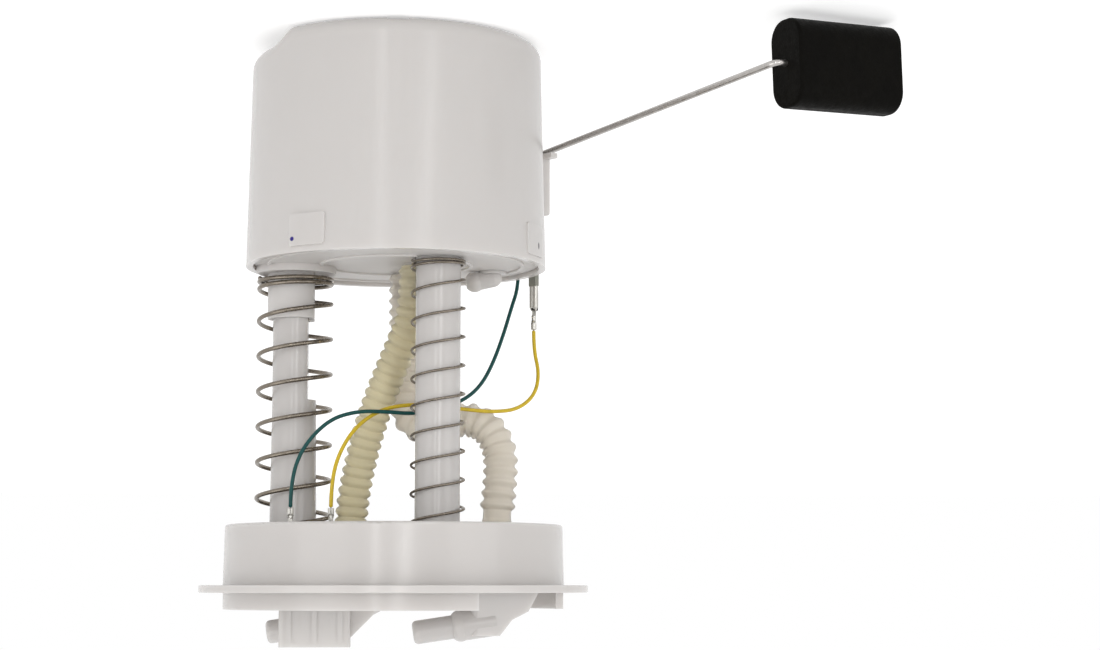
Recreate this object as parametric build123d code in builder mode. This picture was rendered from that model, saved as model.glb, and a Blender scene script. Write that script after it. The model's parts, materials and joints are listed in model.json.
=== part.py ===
"""In-tank fuel pump module: flange on two spring-loaded guide columns over a pump pot with a float.

The origin is the centre of the flange's sealing face and +Z is up, out of the tank.
Lengths are millimetres and angles are degrees.
"""
from build123d import *
import math
import os

os.makedirs("parts", exist_ok=True)

# ---------------------------------------------------------------- fits
SLIDE_GAP = 0.25        # guide column in its sleeve, per side
SEAT_GAP = 0.3          # between a soft or round piece and what it lies against
PUSH_GAP = 0.05         # pushed or snapped together, per side
RUN_GAP = 0.05          # turning shaft in its hole, per side
PRESS_GAP = 0.01        # pressed on a shaft or into a bore, per side
SINK = 0.5              # how far an added shape starts inside what it grows from

# ---------------------------------------------------------------- flange
PLATE_R = 65.0          # sealing plate
PLATE_T = 2.5
FLANGE_WALL = 2.5
DRUM_R = 57.0           # drum that drops into the tank opening
DRUM_DRAFT = 0.5        # how much smaller the drum's radius is at its lower edge
DRUM_H = 20.0
DRUM_EDGE_R = 1.0
PLATE_EDGE_R = 0.4
RIM_R = 56.9            # low rim on top of the plate
RIM_TOP = 8.0
NOTCH_FROM = 180.0      # the stretch of rim that is left out
NOTCH_TO = 242.0
BOSS_H = 12.0           # plugs under the deck that the columns are pushed on
BOSS_WALL = 1.6

# spigots: a riser above each hose and a tube that leans up to its tip
SUPPLY_X, SUPPLY_Y = -34.2, 2.0
RETURN_X, RETURN_Y = 15.4, 16.0
SPIGOT_LEAN = 8.5
SPIGOT_RISE = 1.2       # from the riser's centre back to where its slope begins
SPIGOT_TIP_RISE = 16.0
SPIGOT_REACH = 27.8     # from the riser's centre to the tip
SPIGOT_R = 3.95
SPIGOT_BORE_R = 2.3
SPIGOT_BEAD_R = 5.3
SPIGOT_BEAD_BACK = 16.0  # from the tip to the bead's centre
SPIGOT_BEAD_L = 5.2
SPIGOT_ROOT_R = 5.1
SPIGOT_TIP_R = 1.6      # rounding at the tip
RISER_T = 9.6
RISER_EDGE_R = 2.5
RISER_FRONT = 8.5       # from the riser's centre to its face under the tube
# the riser's back, as points behind its centre and above the sealing face
RISER_KNEE_BACK, RISER_KNEE_Z = 5.4, 11.6
RISER_HEEL_BACK, RISER_HEEL_Z = 10.8, 8.8
RISER_FOOT_BACK = 14.5
NIPPLE_R = 3.8
NIPPLE_H = 15.0
BARB_R = 4.1
BARB_H = 2.0
BARB_PITCH = 4.0

# electrical connector housing, open upwards
CONNECTOR_X, CONNECTOR_Y = 25.6, -21.0
CONNECTOR_L, CONNECTOR_W = 23.1, 13.0
CONNECTOR_TOP = 20.0
CONNECTOR_WALL = 1.6
CONNECTOR_FLOOR = 4.0
CONNECTOR_CORNER_R, CONNECTOR_INNER_R = 1.2, 0.8
CONNECTOR_RIBS = 3
RIB_W, RIB_PITCH, RIB_OUT = 1.6, 8.3, 0.4
RIB_DROP = 2.0          # a rib's top and the web's top below the housing's
WEB_T, WEB_DROP = 2.0, 3.0
BLADE_PITCH = 4.4
BLADE_ROW_X = 27.4      # middle of the row of blades, off the housing's middle
BLADE_W, BLADE_T = 2.8, 0.8
BLADE_TOP = 16.0
BLADE_BOTTOM = -13.0
BLADE_COUNT = 4
BLADE_CHAMFER = 0.25

# ---------------------------------------------------------------- pot
POT_RIM_Z = -107.0
POT_FOOT_Z = -183.5
POT_R = 50.8
POT_DRAFT = 1.8         # how much smaller the pot's radius is at its foot
POT_WALL = 2.3
POT_EDGE_R = 5.0
POT_FLOOR_T = 3.3
FOOT_RECESS_R = 40.0
FOOT_RECESS_H = 1.0
FOOT_CHANNEL_W = 7.0
LOBE_X = 36.8           # the foot is raised beyond this plane, over a slope
LOBE_RAISE = 4.5
LOBE_CREST_R, LOBE_VALLEY_R = 5.5, 2.5
LID_RECESS = 1.4
LID_T = 2.5
LID_GAP = 0.25
LEDGE_W, LEDGE_H = 1.4, 2.0     # ring inside the rim that the lid lies on

# ---------------------------------------------------------------- guide columns
SMALL_X, SMALL_Y = -14.0, -18.0
SMALL_R = 7.5
SMALL_WALL = 1.8
SMALL_END_Z = -150.0
BIG_TURN = 16.2         # where the big column stands round the pot, from +X
BIG_INSET = 14.88       # from the pot's rim in to its axis
BIG_R_TOP = 8.1
BIG_R = 7.5
BIG_BORE_R = 5.6
BIG_STEP_Z = -62.7      # below this the column is cut flat on its inner side
BIG_STEP_WALL = 6.0
BIG_FLAT = 4.6          # from the column's centre to the flat
BIG_DRAIN_R = 2.6
BIG_DRAIN_SHIFT = 1.4
BIG_END_Z = -147.0
SLEEVE_WALL = 1.6
SLEEVE_END_Z = -146.0
COLLAR_TOP_Z = -90.5
LUG_R = 9.0
LUG_H = 2.6
LUG_W = 5.0

# ---------------------------------------------------------------- springs
SMALL_WIRE, SMALL_COIL_D, SMALL_PITCH = 0.9, 18.3, 9.5
BIG_WIRE, BIG_COIL_D, BIG_PITCH = 1.5, 26.0, 12.1
DEAD_TURNS = 2
COIL_POINTS = 8         # route points in one turn
SEAT_RISE = 2.4         # seat under the big spring, above the lid
SEAT_RIM = 0.8          # how far a spring's seat reaches past its coils
CLOSED_PITCH = 1.04     # rise of a closed turn, in wire diameters

# ---------------------------------------------------------------- hoses and wires
HOSE_BORE_R = 4.4
RETURN_HOSE_R = 5.5
SUPPLY_HOSE_R = 6.0
WIRE_R = 0.65
HOSE_END_GAP = 0.8      # hose end from the face its nipple stands on
RETURN_ASIDE, RETURN_IN = 3.0, 24.5     # from the pump's axis to the return hose's end
LID_NIPPLE_H = 12.0

# ---------------------------------------------------------------- pump
PUMP_TURN = 98.84       # where the pump stands round the pot, from +X
PUMP_INSET = 28.03      # from the pot's rim in to its axis
PUMP_R = 19.0
PUMP_SHELL_T = 1.2
PUMP_FOOT_Z = -176.5
PUMP_SHELL_Z0, PUMP_SHELL_Z1 = -174.5, -124.0
INLET_COVER_T = 5.5
INLET_SHIFT = 9.0       # from the shaft to the inlet spout
INLET_SPOUT_R, INLET_SPOUT_H, INLET_BORE_R = 2.6, 2.0, 1.7
THRUST_DEPTH, THRUST_GAP = 1.2, 0.4     # pocket for the shaft's lower end
CHAMBER_T = 8.0
CHAMBER_PORT_R = 1.6
IMPELLER_R, IMPELLER_T = 15.0, 3.4
IMPELLER_GAP = 0.1      # above and below the impeller
IMPELLER_ROOM = 0.6     # round the impeller
IMPELLER_VANES = 24
VANE_L, VANE_W, VANE_INSET = 3.6, 2.0, 1.6
SHAFT_R = 1.5
SHAFT_END_GAP = 0.2
SHAFT_TOP_Z = -125.4
CORE_R, CORE_H, CORE_LIFT = 11.4, 24.0, 4.0
CORE_SLOTS = 8
CORE_SLOT_L, CORE_SLOT_W, CORE_SLOT_INSET = 4.0, 1.6, 1.6
WINDING_OUT, WINDING_IN = 2.4, 2.0      # winding heads past the core's ends, and in from its edge
MAGNET_T, MAGNET_H, MAGNET_DROP = 4.6, 27.0, 3.0
MAGNET_SPLIT = 6.0      # room between the two magnets
COMMUTATOR_R, COMMUTATOR_H, COMMUTATOR_LIFT = 6.0, 5.0, 3.0
SEGMENT_CUT_L, SEGMENT_CUT_W = 1.6, 0.5
BRUSH_W, BRUSH_H, BRUSH_L = 4.0, 4.0, 7.0
BRUSH_GAP = 0.1
OUTLET_COVER_TOP = -119.0
OUTLET_STEP, OUTLET_EDGE_R = 2.5, 1.5   # the cover's upper step, in from the shell, and its edge
COLLAR_LIFT, COLLAR_ROOM = 0.5, 1.0     # the cover's skirt above the commutator's foot, and round it
OUTLET_NIPPLE_R = 4.0
OUTLET_TOP_Z = -113.0
OUTLET_BORE_R = 2.6
VALVE_SEAT_R = 1.4
VALVE_SEAT_Z, VALVE_SEAT_T = -122.0, 0.8
GALLERY_R = 5.2
VALVE_TRAVEL = 2.0
VALVE_BODY_H, VALVE_H, VALVE_TOP_R = 2.6, 3.4, 1.2
STOP_HOLE_R, STOP_T, STOP_BAR_T, STOP_BAR_W = 1.4, 1.2, 0.8, 0.8
GALLERY_PORTS, GALLERY_PORT_R, GALLERY_PORT_INSET = 3, 1.0, 1.3
ISOLATOR_T = 2.0
ISOLATOR_H = 11.0
STRAINER_R, STRAINER_H = 12.5, 3.0
STRAINER_ROOM = 0.8     # round the strainer, inside the isolator
FLOOR_GAP = 0.4         # what lies low in the pot is this far off its floor

# ---------------------------------------------------------------- level sender
SENDER_TURN = 142.0     # where the sender stands round the pot, from +X
SENDER_PROUD = 3.2      # how far the housing stands out of the pot's rim
SENDER_ROOT = 5.0       # where the housing's block starts, in from the pot's rim
SENDER_S0, SENDER_S1 = -16.0, 18.0
SENDER_TOP_Z, SENDER_H = -129.0, 21.5
SENDER_CORNER_R = 1.0
TAB_L, TAB_OUT, TAB_H, TAB_T = 6.0, 4.0, 1.8, 3.0    # the small stop tab at the lower front corner
HUB_S, HUB_DROP = -3.0, 21.0
HUB_R, HUB_T = 6.5, 3.6
HUB_GAP = 0.2
HUB_EAR_R = 10.5
PIVOT_R, PIVOT_L = 2.0, 3.0
CARD_DEEP, CARD_T = 0.6, 0.8
CARD_S0, CARD_S1 = -14.5, 9.0
CARD_DROP, CARD_H = 2.0, 10.5
CARD_GAP = 0.1
WIPER_TURN = 60.0
WIPER_L, WIPER_W, WIPER_T = 14.0, 3.0, 0.25
WIPER_SLOT_W, WIPER_ROOT = 0.6, 3.0
WIPER_FOOT_L, WIPER_FOOT_T = 1.2, 1.4
WIPER_LIFT = 0.08
ARM_R = 1.1
ARM_HOLD = 0.02         # arm wire in its hub, per side
ARM_OFF = 2.1           # from the housing's face to the arm's plane
ARM_DROP = 7.3          # degrees below level with the float at its lower stop
ARM_L = 128.3
ARM_TAIL = 5.0
ARM_BEND_R = 3.4
FLOAT_W, FLOAT_H, FLOAT_L = 16.5, 29.0, 41.0
FLOAT_CORNER_R = 7.0
FLOAT_TURN, FLOAT_DIP = 12.0, 2.0       # the float's axis off the hinge's, about Z and below level
FLOAT_EDGE_R = 1.0
FLOAT_OFF = 3.9         # from the arm's corner to the float's near face
ARM_IN_FLOAT = 22.0
POST_S, POST_W, POST_T = 10.8, 3.6, 1.6
POST_IN = 0.4           # the posts' face in from the housing's
POST_TOP_Z = -104.5
GREEN_POST_S, GREEN_POST_RISE = 2.5, 2.0
SENDER_BLADE_W, SENDER_BLADE_T = 2.0, 0.5
BLADE_SPARE = 2.0       # how much shorter the blade is than its receptacle

# terminals crimped on the wires
TERMINAL_W, TERMINAL_T, TERMINAL_H = 3.6, 2.0, 9.4
TERMINAL_CORNER_R = 0.6
NECK_W, NECK_T, NECK_FROM, NECK_H = 1.8, 1.0, 1.5, 2.6
CRIMP_R, CRIMP_H = 1.0, 6.0
CRIMP_ROOT, CRIMP_BAND, WAIST = 1.0, 2.0, 0.8    # start past the receptacle, one band, share of the radius
FLANGE_CRIMP_Z = -25.0


def save(part, name):
    """Label a finished piece and write it as one STEP file."""
    part.label = name
    export_step(part, f"parts/{name}.step")


def tube_profile(r_in, r_out, z0, z1, x=0.0):
    """A ring's cross-section in the current XZ sketch."""
    with Locations((x + (r_in + r_out) / 2, (z0 + z1) / 2)):
        Rectangle(r_out - r_in, z1 - z0)


def arc_radii(points, share=0.45):
    """One radius for each corner: as large as the two runs beside it allow."""
    vectors = [Vector(*p) for p in points]
    radii = []
    for a, b, c in zip(vectors, vectors[1:], vectors[2:]):
        run_in, run_out = b - a, c - b
        turn = math.radians(run_in.get_angle(run_out))
        shorter = min(run_in.length, run_out.length)
        radii.append(share * shorter / math.tan(turn / 2))
    return radii


def route_tube(name, points, radius, bore=0.0, report=True):
    """A tube along straight runs joined by tangent arcs."""
    radii = arc_radii(points)
    with BuildLine() as path:
        FilletPolyline(*points, radius=radii)
    line = path.wire()
    with BuildPart() as tube:
        with BuildSketch(Plane(origin=line @ 0, z_dir=line % 0)) as section:
            Circle(radius)
            if bore > 0:
                Circle(bore, mode=Mode.SUBTRACT)
        sweep(path=line)
    if report:
        expected = section.sketch.area * line.length
        print(f"{name}: length {line.length:.1f}, tightest radius {min(radii):.1f},",
              f"volume share {tube.part.volume / expected:.4f}")
    return tube.part


def coil(name, x, y, wire, coil_d, pitch, z_low, z_high):
    """A compression spring with closed turns at both ends and an even pitch between them."""
    r = (coil_d - wire) / 2
    corner_r = r / math.cos(math.pi / COIL_POINTS)
    closed_rise = wire * CLOSED_PITCH
    open_height = z_high - z_low - wire - (DEAD_TURNS + 1) * closed_rise
    active = open_height / pitch
    stretches = ((DEAD_TURNS, closed_rise), (active, pitch), (1, closed_rise))
    total = DEAD_TURNS + active + 1
    steps = round(total * COIL_POINTS)

    def at(turn, radius):
        height, left = z_low + wire / 2, turn
        for count, rise in stretches:
            height += min(left, count) * rise
            left = max(left - count, 0)
        angle = 2 * math.pi * turn
        return (x + radius * math.cos(angle), y + radius * math.sin(angle), height)

    points = [at(0, r)] + [at(total * (i + 0.5) / steps, corner_r) for i in range(steps)] + [at(total, r)]
    print(f"{name}: {active:.2f} active turns")
    return route_tube(name, points, wire / 2)


# ---------------------------------------------------------------- places worked out from the sizes
DECK_Z = 0.0
LID_Z = POT_RIM_Z - LID_RECESS
LID_UNDER_Z = LID_Z - LID_T
FLOOR_Z = POT_FOOT_Z + POT_FLOOR_T
SEAT_Z = LID_Z + SEAT_RISE
BIG_X = round((POT_R - BIG_INSET) * math.cos(math.radians(BIG_TURN)), 1)
BIG_Y = round((POT_R - BIG_INSET) * math.sin(math.radians(BIG_TURN)), 1)
PUMP_X = round((POT_R - PUMP_INSET) * math.cos(math.radians(PUMP_TURN)), 1)
PUMP_Y = round((POT_R - PUMP_INSET) * math.sin(math.radians(PUMP_TURN)), 1)
SUPPLY_LOW_X, SUPPLY_LOW_Y = PUMP_X, PUMP_Y
RETURN_LOW_X, RETURN_LOW_Y = PUMP_X - RETURN_ASIDE, PUMP_Y - RETURN_IN
TURN = math.radians(SENDER_TURN)
OUT = Vector(math.cos(TURN), math.sin(TURN), 0)
ALONG = Vector(-OUT.Y, OUT.X, 0)
SENDER_FACE = POT_R + SENDER_PROUD      # from the pot's axis to the housing's outer face
SENDER_LOW_Z = SENDER_TOP_Z - SENDER_H
HUB_Z = SENDER_TOP_Z - HUB_DROP
ARM_PLANE = SENDER_FACE + ARM_OFF


def pot_radius(z):
    """Outer radius of the pot's drafted wall at a height."""
    return POT_R - POT_DRAFT * (POT_RIM_Z - z) / (POT_RIM_Z - POT_FOOT_Z)


def sender_plane(out):
    """A plane square to the sender's outward direction; its x runs towards the float, its y is up."""
    return Plane(origin=OUT * out, x_dir=ALONG, z_dir=OUT)


def sender_point(out, s, z):
    return OUT * out + ALONG * s + Vector(0, 0, z)


blade_xs = [BLADE_ROW_X - (BLADE_COUNT - 1) * BLADE_PITCH / 2 + i * BLADE_PITCH for i in range(BLADE_COUNT)]


# ---------------------------------------------------------------- flange moulding
def spigot_plane(x, y):
    """Plane whose z axis runs along the spigot, from over the riser's centre to the tip."""
    lean = math.radians(SPIGOT_LEAN)
    start = Vector(x, y, SPIGOT_TIP_RISE - SPIGOT_REACH * math.tan(lean))
    return Plane(origin=start, x_dir=(0, 1, 0), z_dir=(math.cos(lean), 0, math.sin(lean)))


def spigot(x, y):
    """One riser with its leaning tube above the plate and its hose nipple below it."""
    along = spigot_plane(x, y)
    length = SPIGOT_REACH / math.cos(math.radians(SPIGOT_LEAN))
    top = along.origin.Z + SPIGOT_ROOT_R
    with BuildPart() as piece:
        with BuildSketch(Plane.XZ.offset(-y - RISER_T / 2)):
            with BuildLine():
                Polyline((x - RISER_FOOT_BACK, PLATE_T - SINK), (x - RISER_HEEL_BACK, RISER_HEEL_Z),
                         (x - RISER_KNEE_BACK, RISER_KNEE_Z), (x - SPIGOT_RISE, top),
                         (x + RISER_FRONT, top), (x + RISER_FRONT, PLATE_T - SINK), close=True)
            make_face()
        extrude(amount=RISER_T)
        fillet(piece.edges().filter_by(Axis.Z), radius=RISER_EDGE_R)
        with BuildSketch(along):
            Circle(SPIGOT_ROOT_R)
        extrude(amount=length - SPIGOT_BEAD_BACK)
        with BuildSketch(along):
            Circle(SPIGOT_R)
        extrude(amount=length)
        tip = piece.edges().sort_by(Axis.X)[-1]
        fillet(tip, radius=SPIGOT_TIP_R)
        # the bead is an arc turned round the tube
        bead = length - SPIGOT_BEAD_BACK
        with BuildSketch(Plane(origin=along.origin, x_dir=along.z_dir, z_dir=along.x_dir)):
            with BuildLine():
                foot, head = bead - SPIGOT_BEAD_L / 2, bead + SPIGOT_BEAD_L / 2
                ThreePointArc((foot, SPIGOT_R), (bead, SPIGOT_BEAD_R), (head, SPIGOT_R))
                Polyline((head, SPIGOT_R), (head, 0), (foot, 0), (foot, SPIGOT_R))
            make_face()
        revolve(axis=Axis(along.origin, along.z_dir))
        with BuildSketch(Plane.XY.offset(DECK_Z - NIPPLE_H)):
            with Locations((x, y)):
                Circle(NIPPLE_R)
        extrude(amount=NIPPLE_H + PLATE_T)
        for i in range(3):
            with Locations((x, y, DECK_Z - NIPPLE_H + BARB_H + BARB_PITCH * i)):
                Cone(NIPPLE_R, BARB_R, BARB_H)
    return piece.part


with BuildPart() as flange_moulding:
    with BuildSketch(Plane.XZ):
        tube_profile(0, PLATE_R, DECK_Z, PLATE_T)
        with BuildLine():
            Polyline((DRUM_R, DECK_Z + SINK), (DRUM_R - DRUM_DRAFT, -DRUM_H),
                     (DRUM_R - DRUM_DRAFT - FLANGE_WALL, -DRUM_H), (DRUM_R - FLANGE_WALL, DECK_Z + SINK),
                     close=True)
        make_face()
        tube_profile(RIM_R - FLANGE_WALL, RIM_R, PLATE_T - SINK, RIM_TOP)
    revolve(axis=Axis.Z)
    low_edges = flange_moulding.edges().filter_by(GeomType.CIRCLE).group_by(Axis.Z)[0]
    fillet(low_edges.sort_by(SortBy.RADIUS)[-1], radius=DRUM_EDGE_R)
    plate_edges = flange_moulding.edges().filter_by(GeomType.CIRCLE).sort_by(SortBy.RADIUS)[-2:]
    fillet(plate_edges, radius=PLATE_EDGE_R)
    # the rim is left out over one stretch
    middle = math.radians((NOTCH_FROM + NOTCH_TO) / 2)
    half_notch = math.radians((NOTCH_TO - NOTCH_FROM) / 2)
    far = PLATE_R / math.cos(half_notch)
    with BuildSketch(Plane.XY.offset(PLATE_T)):
        with BuildLine():
            Polyline((0, 0), (far * math.cos(middle - half_notch), far * math.sin(middle - half_notch)),
                     (far * math.cos(middle + half_notch), far * math.sin(middle + half_notch)), close=True)
        make_face()
    extrude(amount=RIM_TOP, mode=Mode.SUBTRACT)
    # plugs for the two guide columns
    for x, y, bore in ((SMALL_X, SMALL_Y, SMALL_R - SMALL_WALL), (BIG_X, BIG_Y, BIG_BORE_R)):
        with BuildSketch(Plane.XY.offset(DECK_Z - BOSS_H)):
            with Locations((x, y)):
                Circle(bore - PUSH_GAP)
                Circle(bore - PUSH_GAP - BOSS_WALL, mode=Mode.SUBTRACT)
        extrude(amount=BOSS_H + SINK)
    # connector housing with its web and keying ribs
    with BuildSketch(Plane.XY.offset(PLATE_T - SINK)):
        with Locations((CONNECTOR_X, CONNECTOR_Y)):
            RectangleRounded(CONNECTOR_L, CONNECTOR_W, CONNECTOR_CORNER_R)
    extrude(amount=CONNECTOR_TOP - PLATE_T + SINK)
    with BuildSketch(Plane.XY.offset(PLATE_T)):
        with Locations((CONNECTOR_X, CONNECTOR_Y - CONNECTOR_W / 2)):
            with GridLocations(RIB_PITCH, 0, CONNECTOR_RIBS, 1):
                Rectangle(RIB_W, 2 * RIB_OUT)
    extrude(amount=CONNECTOR_TOP - PLATE_T - RIB_DROP)
    with BuildSketch(Plane.XZ.offset(-CONNECTOR_Y - WEB_T / 2)):
        with BuildLine():
            left = CONNECTOR_X - CONNECTOR_L / 2
            web_top = CONNECTOR_TOP - WEB_DROP
            web_foot = left - (web_top - PLATE_T)
            Polyline((left + SINK, PLATE_T - SINK), (web_foot, PLATE_T - SINK), (web_foot, PLATE_T),
                     (left, web_top), (left + SINK, web_top), close=True)
        make_face()
    extrude(amount=WEB_T)
    with BuildSketch(Plane.XY.offset(CONNECTOR_FLOOR)):
        with Locations((CONNECTOR_X, CONNECTOR_Y)):
            RectangleRounded(CONNECTOR_L - 2 * CONNECTOR_WALL, CONNECTOR_W - 2 * CONNECTOR_WALL,
                             CONNECTOR_INNER_R)
    extrude(amount=CONNECTOR_TOP, mode=Mode.SUBTRACT)
    with BuildSketch(Plane.XY.offset(DECK_Z)):
        for x in blade_xs:
            with Locations((x, CONNECTOR_Y)):
                Rectangle(BLADE_W + 2 * PUSH_GAP, BLADE_T + 2 * PUSH_GAP)
    extrude(amount=CONNECTOR_FLOOR, mode=Mode.SUBTRACT)
    # spigots and their way through to the nipples
    for x, y in ((SUPPLY_X, SUPPLY_Y), (RETURN_X, RETURN_Y)):
        add(spigot(x, y))
    for x, y in ((SUPPLY_X, SUPPLY_Y), (RETURN_X, RETURN_Y)):
        along = spigot_plane(x, y)
        with BuildSketch(along):
            Circle(SPIGOT_BORE_R)
        extrude(amount=2 * SPIGOT_REACH, mode=Mode.SUBTRACT)
        with BuildSketch(Plane.XY.offset(DECK_Z - NIPPLE_H)):
            with Locations((x, y)):
                Circle(SPIGOT_BORE_R)
        extrude(amount=NIPPLE_H + along.origin.Z, mode=Mode.SUBTRACT)
save(flange_moulding.part, "flange_moulding")

with BuildPart() as connector_blades:
    with BuildSketch(Plane.XY.offset(BLADE_BOTTOM)):
        for x in blade_xs:
            with Locations((x, CONNECTOR_Y)):
                Rectangle(BLADE_W, BLADE_T)
    extrude(amount=BLADE_TOP - BLADE_BOTTOM)
    chamfer(connector_blades.edges().group_by(Axis.Z)[-1].filter_by(Axis.X), length=BLADE_CHAMFER)
save(connector_blades.part, "connector_blades")

# ---------------------------------------------------------------- guide columns
with BuildPart() as guide_column_small:
    with BuildSketch(Plane.XY.offset(SMALL_END_Z)):
        with Locations((SMALL_X, SMALL_Y)):
            Circle(SMALL_R)
    extrude(amount=DECK_Z - SMALL_END_Z)
    # two snap lugs hang below the sleeve and stop the pot from dropping off
    with BuildSketch(Plane.XY.offset(SLEEVE_END_Z - SEAT_GAP - LUG_H)):
        with Locations((SMALL_X, SMALL_Y)):
            Rectangle(2 * LUG_R, LUG_W)
    extrude(amount=LUG_H)
    with BuildSketch(Plane.XY.offset(SMALL_END_Z)):
        with Locations((SMALL_X, SMALL_Y)):
            Circle(SMALL_R - SMALL_WALL)
    extrude(amount=DECK_Z - SMALL_END_Z, mode=Mode.SUBTRACT)
save(guide_column_small.part, "guide_column_small")


def big_section(grow):
    """The big column's lower section, a circle cut flat on its inner side, made larger all round."""
    with Locations((BIG_X, BIG_Y)):
        Circle(BIG_R + grow)
    with Locations((BIG_X - BIG_FLAT - grow, BIG_Y)):
        Rectangle(4 * BIG_R, 4 * BIG_R, align=(Align.MAX, Align.CENTER), mode=Mode.SUBTRACT)


with BuildPart() as guide_column_big:
    with Locations((BIG_X, BIG_Y, BIG_STEP_Z)):
        Cone(BIG_R, BIG_R_TOP, DECK_Z - BIG_STEP_Z, align=(Align.CENTER, Align.CENTER, Align.MIN))
    with BuildSketch(Plane.XY.offset(BIG_END_Z)):
        big_section(0)
    extrude(amount=BIG_STEP_Z - BIG_END_Z)
    with BuildSketch(Plane.XY.offset(BIG_STEP_Z + BIG_STEP_WALL)):
        with Locations((BIG_X, BIG_Y)):
            Circle(BIG_BORE_R)
    extrude(amount=DECK_Z - BIG_STEP_Z, mode=Mode.SUBTRACT)
    with BuildSketch(Plane.XY.offset(BIG_END_Z)):
        with Locations((BIG_X + BIG_DRAIN_SHIFT, BIG_Y)):
            Circle(BIG_DRAIN_R)
    extrude(amount=BIG_STEP_Z - BIG_END_Z + BIG_STEP_WALL + SINK, mode=Mode.SUBTRACT)
save(guide_column_big.part, "guide_column_big")

# ---------------------------------------------------------------- springs
spring_small = coil("spring_small", SMALL_X, SMALL_Y, SMALL_WIRE, SMALL_COIL_D, SMALL_PITCH,
                    LID_Z + SEAT_GAP, DECK_Z - SEAT_GAP)
save(spring_small, "spring_small")
spring_big = coil("spring_big", BIG_X, BIG_Y, BIG_WIRE, BIG_COIL_D, BIG_PITCH,
                  SEAT_Z + SEAT_GAP, DECK_Z - SEAT_GAP)
save(spring_big, "spring_big")

# ---------------------------------------------------------------- pot
SMALL_SLEEVE_R = SMALL_R + SLIDE_GAP
PAD_TURNS = (-55.0, -156.0, 36.0, 92.0)     # latch pads round the rim, degrees from +X
PAD_W, PAD_Z0, PAD_Z1, PAD_T = 14.0, -119.5, -109.0, 0.5
PAD_CORNER_R, PAD_ROOT = 1.0, 4.0
PUMP_SEAT_SLOTS, PUMP_SEAT_SLOT_W = 3, 7.0
VALVE_X, VALVE_Y = 6.0, -24.0
VALVE_HOLE_R, VALVE_RING_R, VALVE_PORTS = 1.6, 4.6, 6
FLAP_REACH, FLAP_T, FLAP_CROWN = 3.4, 0.5, 2.2      # past the ports' circle, at the edge, at the middle
STEM_COLLAR, STEM_UP = 0.5, 0.2
PUMP_SEAT_R0, PUMP_SEAT_R1 = 14.5, 20.0
JET_HOLE_R = 2.0
JET_RISER_R, JET_TUBE_R = 3.2, 3.2
JET_TURN, JET_L = -14.0, 26.0
JET_FOOT_R, JET_FOOT_BACK = 1.9, 9.6

with BuildPart() as latch_pads:
    for turn in PAD_TURNS:
        side = Vector(math.cos(math.radians(turn)), math.sin(math.radians(turn)), 0)
        with BuildSketch(Plane(origin=side * (POT_R - PAD_ROOT), x_dir=(-side.Y, side.X, 0), z_dir=side)):
            with Locations((0, (PAD_Z0 + PAD_Z1) / 2)):
                RectangleRounded(PAD_W, PAD_Z1 - PAD_Z0, PAD_CORNER_R)
        extrude(amount=2 * PAD_ROOT)
    with BuildSketch(Plane.XZ):
        with BuildLine():
            below, above = PAD_Z0 - SINK, PAD_Z1 + SINK
            Polyline((0, below), (pot_radius(below) + PAD_T, below), (pot_radius(above) + PAD_T, above),
                     (0, above), close=True)
        make_face()
    revolve(axis=Axis.Z, mode=Mode.INTERSECT)

with BuildPart() as pot_inside:
    inner_top = pot_radius(POT_RIM_Z) - POT_WALL
    inner_low = pot_radius(FLOOR_Z) - POT_WALL
    with BuildSketch(Plane.XZ):
        with BuildLine():
            Polyline((0, FLOOR_Z), (inner_low, FLOOR_Z), (inner_top, POT_RIM_Z), (0, POT_RIM_Z), close=True)
        make_face()
    revolve(axis=Axis.Z)
    with BuildSketch(Plane.YZ.offset(LOBE_X - POT_WALL)):
        with Locations((0, FLOOR_Z)):
            Rectangle(2 * POT_R, LOBE_RAISE, align=(Align.CENTER, Align.MIN))
    extrude(amount=POT_R, mode=Mode.SUBTRACT)

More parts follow.
